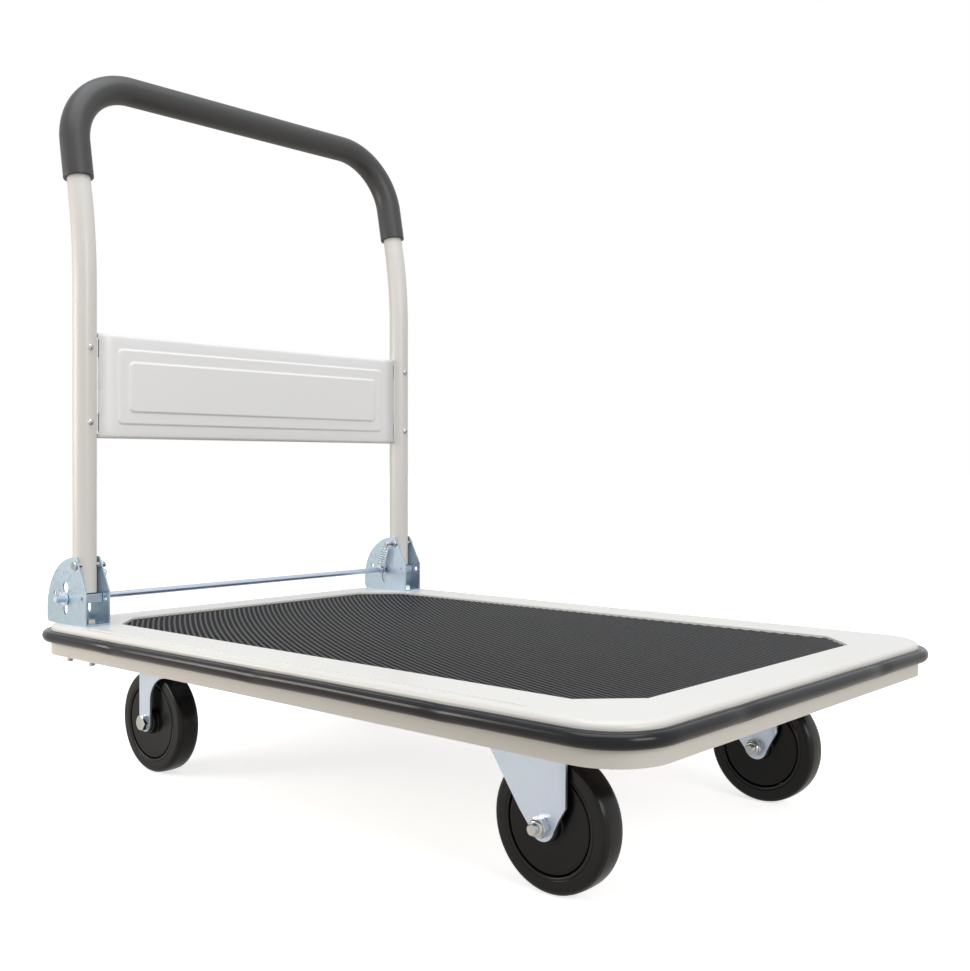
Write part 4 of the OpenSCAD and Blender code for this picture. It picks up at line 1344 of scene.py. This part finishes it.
class CART_OT_casters(bpy.types.Operator):
    """Fixed and swivelling caster forks, plates, kingpins and their bolts"""

    bl_idname = "cart.casters"
    bl_label = "Build the casters"

    def execute(self, context):
        sizes = context.scene.cart_sizes
        edge = sizes.edge_break * 1.3
        for side, _ in SIDES:
            softened("rigid_fork_" + side, edge, MATERIALS["zinc"])
            softened("swivel_plate_" + side, edge, MATERIALS["zinc"])
            softened("swivel_fork_" + side, edge, MATERIALS["zinc"])
            softened("swivel_sleeve_" + side, 0.3 * MM, MATERIALS["bright"])
            balls = frame["nodes"]["swivel_balls_" + side]
            balls.data.materials.clear()
            balls.data.materials.append(MATERIALS["balls"])
        softened("rigid_sleeves", 0.3 * MM, MATERIALS["bright"])
        softened("kingpins", 0.9 * MM, MATERIALS["bright"], segments=3)
        nuts("kingpin_nuts", Z_AXIS, "kingpin_hex_nuts", MATERIALS["bright"], 6.05 * MM)
        bolts("caster_bolts", Z_AXIS, 1.25 * MM, "caster_hex_bolts", MATERIALS["bright"], 0.012)
        nuts("caster_nuts", Z_AXIS, "caster_hex_nuts", MATERIALS["bright"], 4.05 * MM)
        return {"FINISHED"}


class CART_OT_wheels(bpy.types.Operator):
    """Four wheels: solid tyres on moulded hubs"""

    bl_idname = "cart.wheels"
    bl_label = "Build the wheels"

    def execute(self, context):
        tyre_half = [
            (46.25, 0.0), (46.25, 13.0), (46.6, 13.7), (47.2, 14.0), (49.0, 14.1), (49.25, 13.75),
            (49.6, 13.6), (49.95, 13.75), (50.2, 14.15), (57.6, 14.3), (58.6, 14.25), (59.8, 13.9),
            (61.0, 13.25), (62.0, 12.2), (62.6, 11.1), (62.8, 10.6), (62.72, 10.35), (62.6, 10.2),
            (62.72, 10.05), (62.95, 9.8), (63.2, 7.5), (63.42, 3.5), (63.5, 0.0),
        ]
        hub_half = [
            (45.8, 0.0), (45.8, 9.6), (45.3, 10.6), (44.9, 12.2), (44.5, 12.9), (43.9, 13.2),
            (42.8, 13.25), (40.0, 13.1), (30.0, 12.85), (20.0, 12.7), (16.4, 12.65), (15.6, 12.8),
            (15.1, 13.4), (15.0, 14.2), (14.9, 18.4), (14.5, 19.1), (13.9, 19.45), (9.2, 19.5),
            (8.5, 19.2), (8.12, 18.6), (8.12, 0.0),
        ]
        for kind in ("rigid", "swivel"):
            for side, _ in SIDES:
                centre = middle(f"tyre_{kind}_{side}")
                bm = bmesh.new()
                outside = [(r * MM, y * MM) for r, y in reversed(tyre_half[1:])]
                profile = outside_first(outside)
                turned(bm, profile, centre, Y_AXIS, 120, closed=True)
                piece(f"tyre_{kind}_{side}_ring", bm, f"wheel_{kind}_{side}",
                      MATERIALS["tyre"], [f"tyre_{kind}_{side}"], 40)
                bm = bmesh.new()
                half = [(r * MM, y * MM) for r, y in hub_half]
                profile = half[1:-1] + [(r, -y) for r, y in reversed(half[1:-1])]
                turned(bm, profile, centre, Y_AXIS, 120, closed=True)
                piece(f"hub_{kind}_{side}_disc", bm, f"wheel_{kind}_{side}",
                      MATERIALS["hub"], [f"hub_{kind}_{side}"], 40)
        return {"FINISHED"}


def outside_first(outside):
    """Closes a half profile that starts at its middle into a full ring section."""
    crown = outside[0]
    return [(r, -y) for r, y in reversed(outside) if y > 0] + [crown] + [p for p in outside[1:]]


class CART_OT_axles(bpy.types.Operator):
    """Axle bolts and lock nuts of the four wheels"""

    bl_idname = "cart.axles"
    bl_label = "Build the axles"

    def execute(self, context):
        for node in ("rigid_axle_bolts", "swivel_axle_bolt_left", "swivel_axle_bolt_right"):
            bolts(node, Y_AXIS, 1.5 * MM, node + "_hex", MATERIALS["bright"], 0.016)
        for node in ("rigid_axle_nuts", "swivel_axle_nut_left", "swivel_axle_nut_right"):
            nuts(node, Y_AXIS, node + "_hex", MATERIALS["bright"], 5.05 * MM)
        return {"FINISHED"}


# ---- Stage ----


FLOOR_RADIUS = 40.0
FLOOR_DROP = 0.2 * MM
CAMERA_PLACE = (0.9375, -1.0182, 0.3814)
CAMERA_HEADING = math.radians(41.48)
CAMERA_LENS = 43.40
CAMERA_SHIFT = -0.02153


def area_light(name, place, aim, size, power, colour):
    data = bpy.data.lights.new(name, "AREA")
    data.shape = "RECTANGLE"
    data.size, data.size_y = size
    data.energy = power
    data.color = colour
    light = bpy.data.objects.new(name, data)
    bpy.context.scene.collection.objects.link(light)
    light.location = place
    light.rotation_euler = (Vector(aim) - Vector(place)).to_track_quat("-Z", "Y").to_euler()
    return light


def studio_world():
    world = bpy.data.worlds.new("Studio white")
    bpy.context.scene.world = world
    world.use_nodes = True
    tree = world.node_tree
    tree.nodes.clear()
    output = tree.nodes.new("ShaderNodeOutputWorld")
    seen = tree.nodes.new("ShaderNodeBackground")
    seen.inputs["Color"].default_value = (1, 1, 1, 1)
    seen.inputs["Strength"].default_value = 1.0
    lit = tree.nodes.new("ShaderNodeBackground")
    lit.inputs["Color"].default_value = (0.97, 0.985, 1.0, 1)
    path = tree.nodes.new("ShaderNodeLightPath")
    mirrored = math_node(tree, "MULTIPLY_ADD", path.outputs["Is Glossy Ray"], 0.4)
    mirrored.node.inputs[2].default_value = 0.47
    linked(tree, mirrored, lit.inputs["Strength"])
    mix = tree.nodes.new("ShaderNodeMixShader")
    linked(tree, path.outputs["Is Camera Ray"], mix.inputs["Fac"])
    linked(tree, lit.outputs[0], mix.inputs[1])
    linked(tree, seen.outputs[0], mix.inputs[2])
    linked(tree, mix.outputs[0], output.inputs["Surface"])


class CART_OT_stage(bpy.types.Operator):
    """Plain pale floor, soft studio light and the camera"""

    bl_idname = "cart.stage"
    bl_label = "Set the stage"

    def execute(self, context):
        scene = context.scene
        studio_world()
        bm = bmesh.new()
        bmesh.ops.create_circle(bm, cap_ends=True, radius=FLOOR_RADIUS, segments=96)
        mesh = bpy.data.meshes.new("studio_floor")
        bm.to_mesh(mesh)
        bm.free()
        floor = bpy.data.objects.new("studio_floor", mesh)
        scene.collection.objects.link(floor)
        floor.location.z = -FLOOR_DROP
        material, tree, shader = blank_material("Studio floor")
        path = tree.nodes.new("ShaderNodeLightPath")
        seen = path.outputs["Is Camera Ray"]
        bounced, plain = (0.35, 0.31, 0.245), (0.93, 0.93, 0.93)
        linked(tree, mixed(tree, seen, bounced, plain), shader.inputs["Base Color"])
        shader.inputs["Roughness"].default_value = 0.9
        shader.inputs["Emission Color"].default_value = (1, 1, 1, 1)
        mirrored = math_node(tree, "MULTIPLY", path.outputs["Is Glossy Ray"], 0.45)
        glow = math_node(tree, "ADD", math_node(tree, "MULTIPLY", seen, 0.7), mirrored)
        linked(tree, glow, shader.inputs["Emission Strength"])
        mesh.materials.append(material)
        area_light("Overhead", (0.3, -0.4, 2.6), (0.0, 0.0, 0.2), (2.6, 2.2), 42,
                   (0.96, 0.98, 1.0))
        area_light("Front", (2.8, -0.6, 1.3), (-0.3, 0.0, 0.5), (1.4, 1.2), 26,
                   (1.0, 0.97, 0.93))
        area_light("Near side", (-1.1, -1.3, 0.55), (-0.4, -0.3, 0.25), (0.8, 0.6), 9,
                   (1.0, 0.93, 0.86))
        data = bpy.data.cameras.new("Camera")
        data.sensor_fit = "HORIZONTAL"
        data.sensor_width = 36
        data.lens = CAMERA_LENS
        data.shift_y = CAMERA_SHIFT
        data.clip_end = 200
        camera = bpy.data.objects.new("Camera", data)
        scene.collection.objects.link(camera)
        camera.location = CAMERA_PLACE
        camera.rotation_euler = (math.radians(90), 0, CAMERA_HEADING)
        scene.camera = camera
        scene.view_settings.view_transform = "Standard"
        scene.view_settings.look = "None"
        return {"FINISHED"}


class CART_PT_panel(bpy.types.Panel):
    """Lists the cart's settings and the steps that build it"""

    bl_label = "Folding platform cart"
    bl_idname = "CART_PT_panel"
    bl_space_type = "VIEW_3D"
    bl_region_type = "UI"
    bl_category = "Cart"

    def draw(self, context):
        layout = self.layout
        for group in (context.scene.cart_sizes, context.scene.cart_colours):
            box = layout.box()
            for label in group.__annotations__:
                box.prop(group, label)
        for step in STEPS:
            layout.operator(step.bl_idname)


STEPS = (
    CART_OT_stage, CART_OT_deck, CART_OT_mat, CART_OT_bumper, CART_OT_handle, CART_OT_panel,
    CART_OT_brackets, CART_OT_release, CART_OT_springs, CART_OT_casters, CART_OT_wheels,
    CART_OT_axles,
)
CLASSES = (CartSizes, CartColours, *STEPS, CART_PT_panel)


def register():
    for cls in CLASSES:
        bpy.utils.register_class(cls)
    bpy.types.Scene.cart_sizes = bpy.props.PointerProperty(type=CartSizes)
    bpy.types.Scene.cart_colours = bpy.props.PointerProperty(type=CartColours)


def unregister():
    del bpy.types.Scene.cart_sizes
    del bpy.types.Scene.cart_colours
    for cls in reversed(CLASSES):
        bpy.utils.unregister_class(cls)


def main():
    register()
    MATERIALS.update(make_materials(bpy.context.scene.cart_colours))
    bpy.ops.cart.stage()
    bpy.ops.cart.deck()
    bpy.ops.cart.mat()
    bpy.ops.cart.bumper()
    bpy.ops.cart.handle()
    bpy.ops.cart.panel()
    bpy.ops.cart.brackets()
    bpy.ops.cart.release()
    bpy.ops.cart.springs()
    bpy.ops.cart.casters()
    bpy.ops.cart.wheels()
    bpy.ops.cart.axles()


if __name__ == "__main__":
    main()
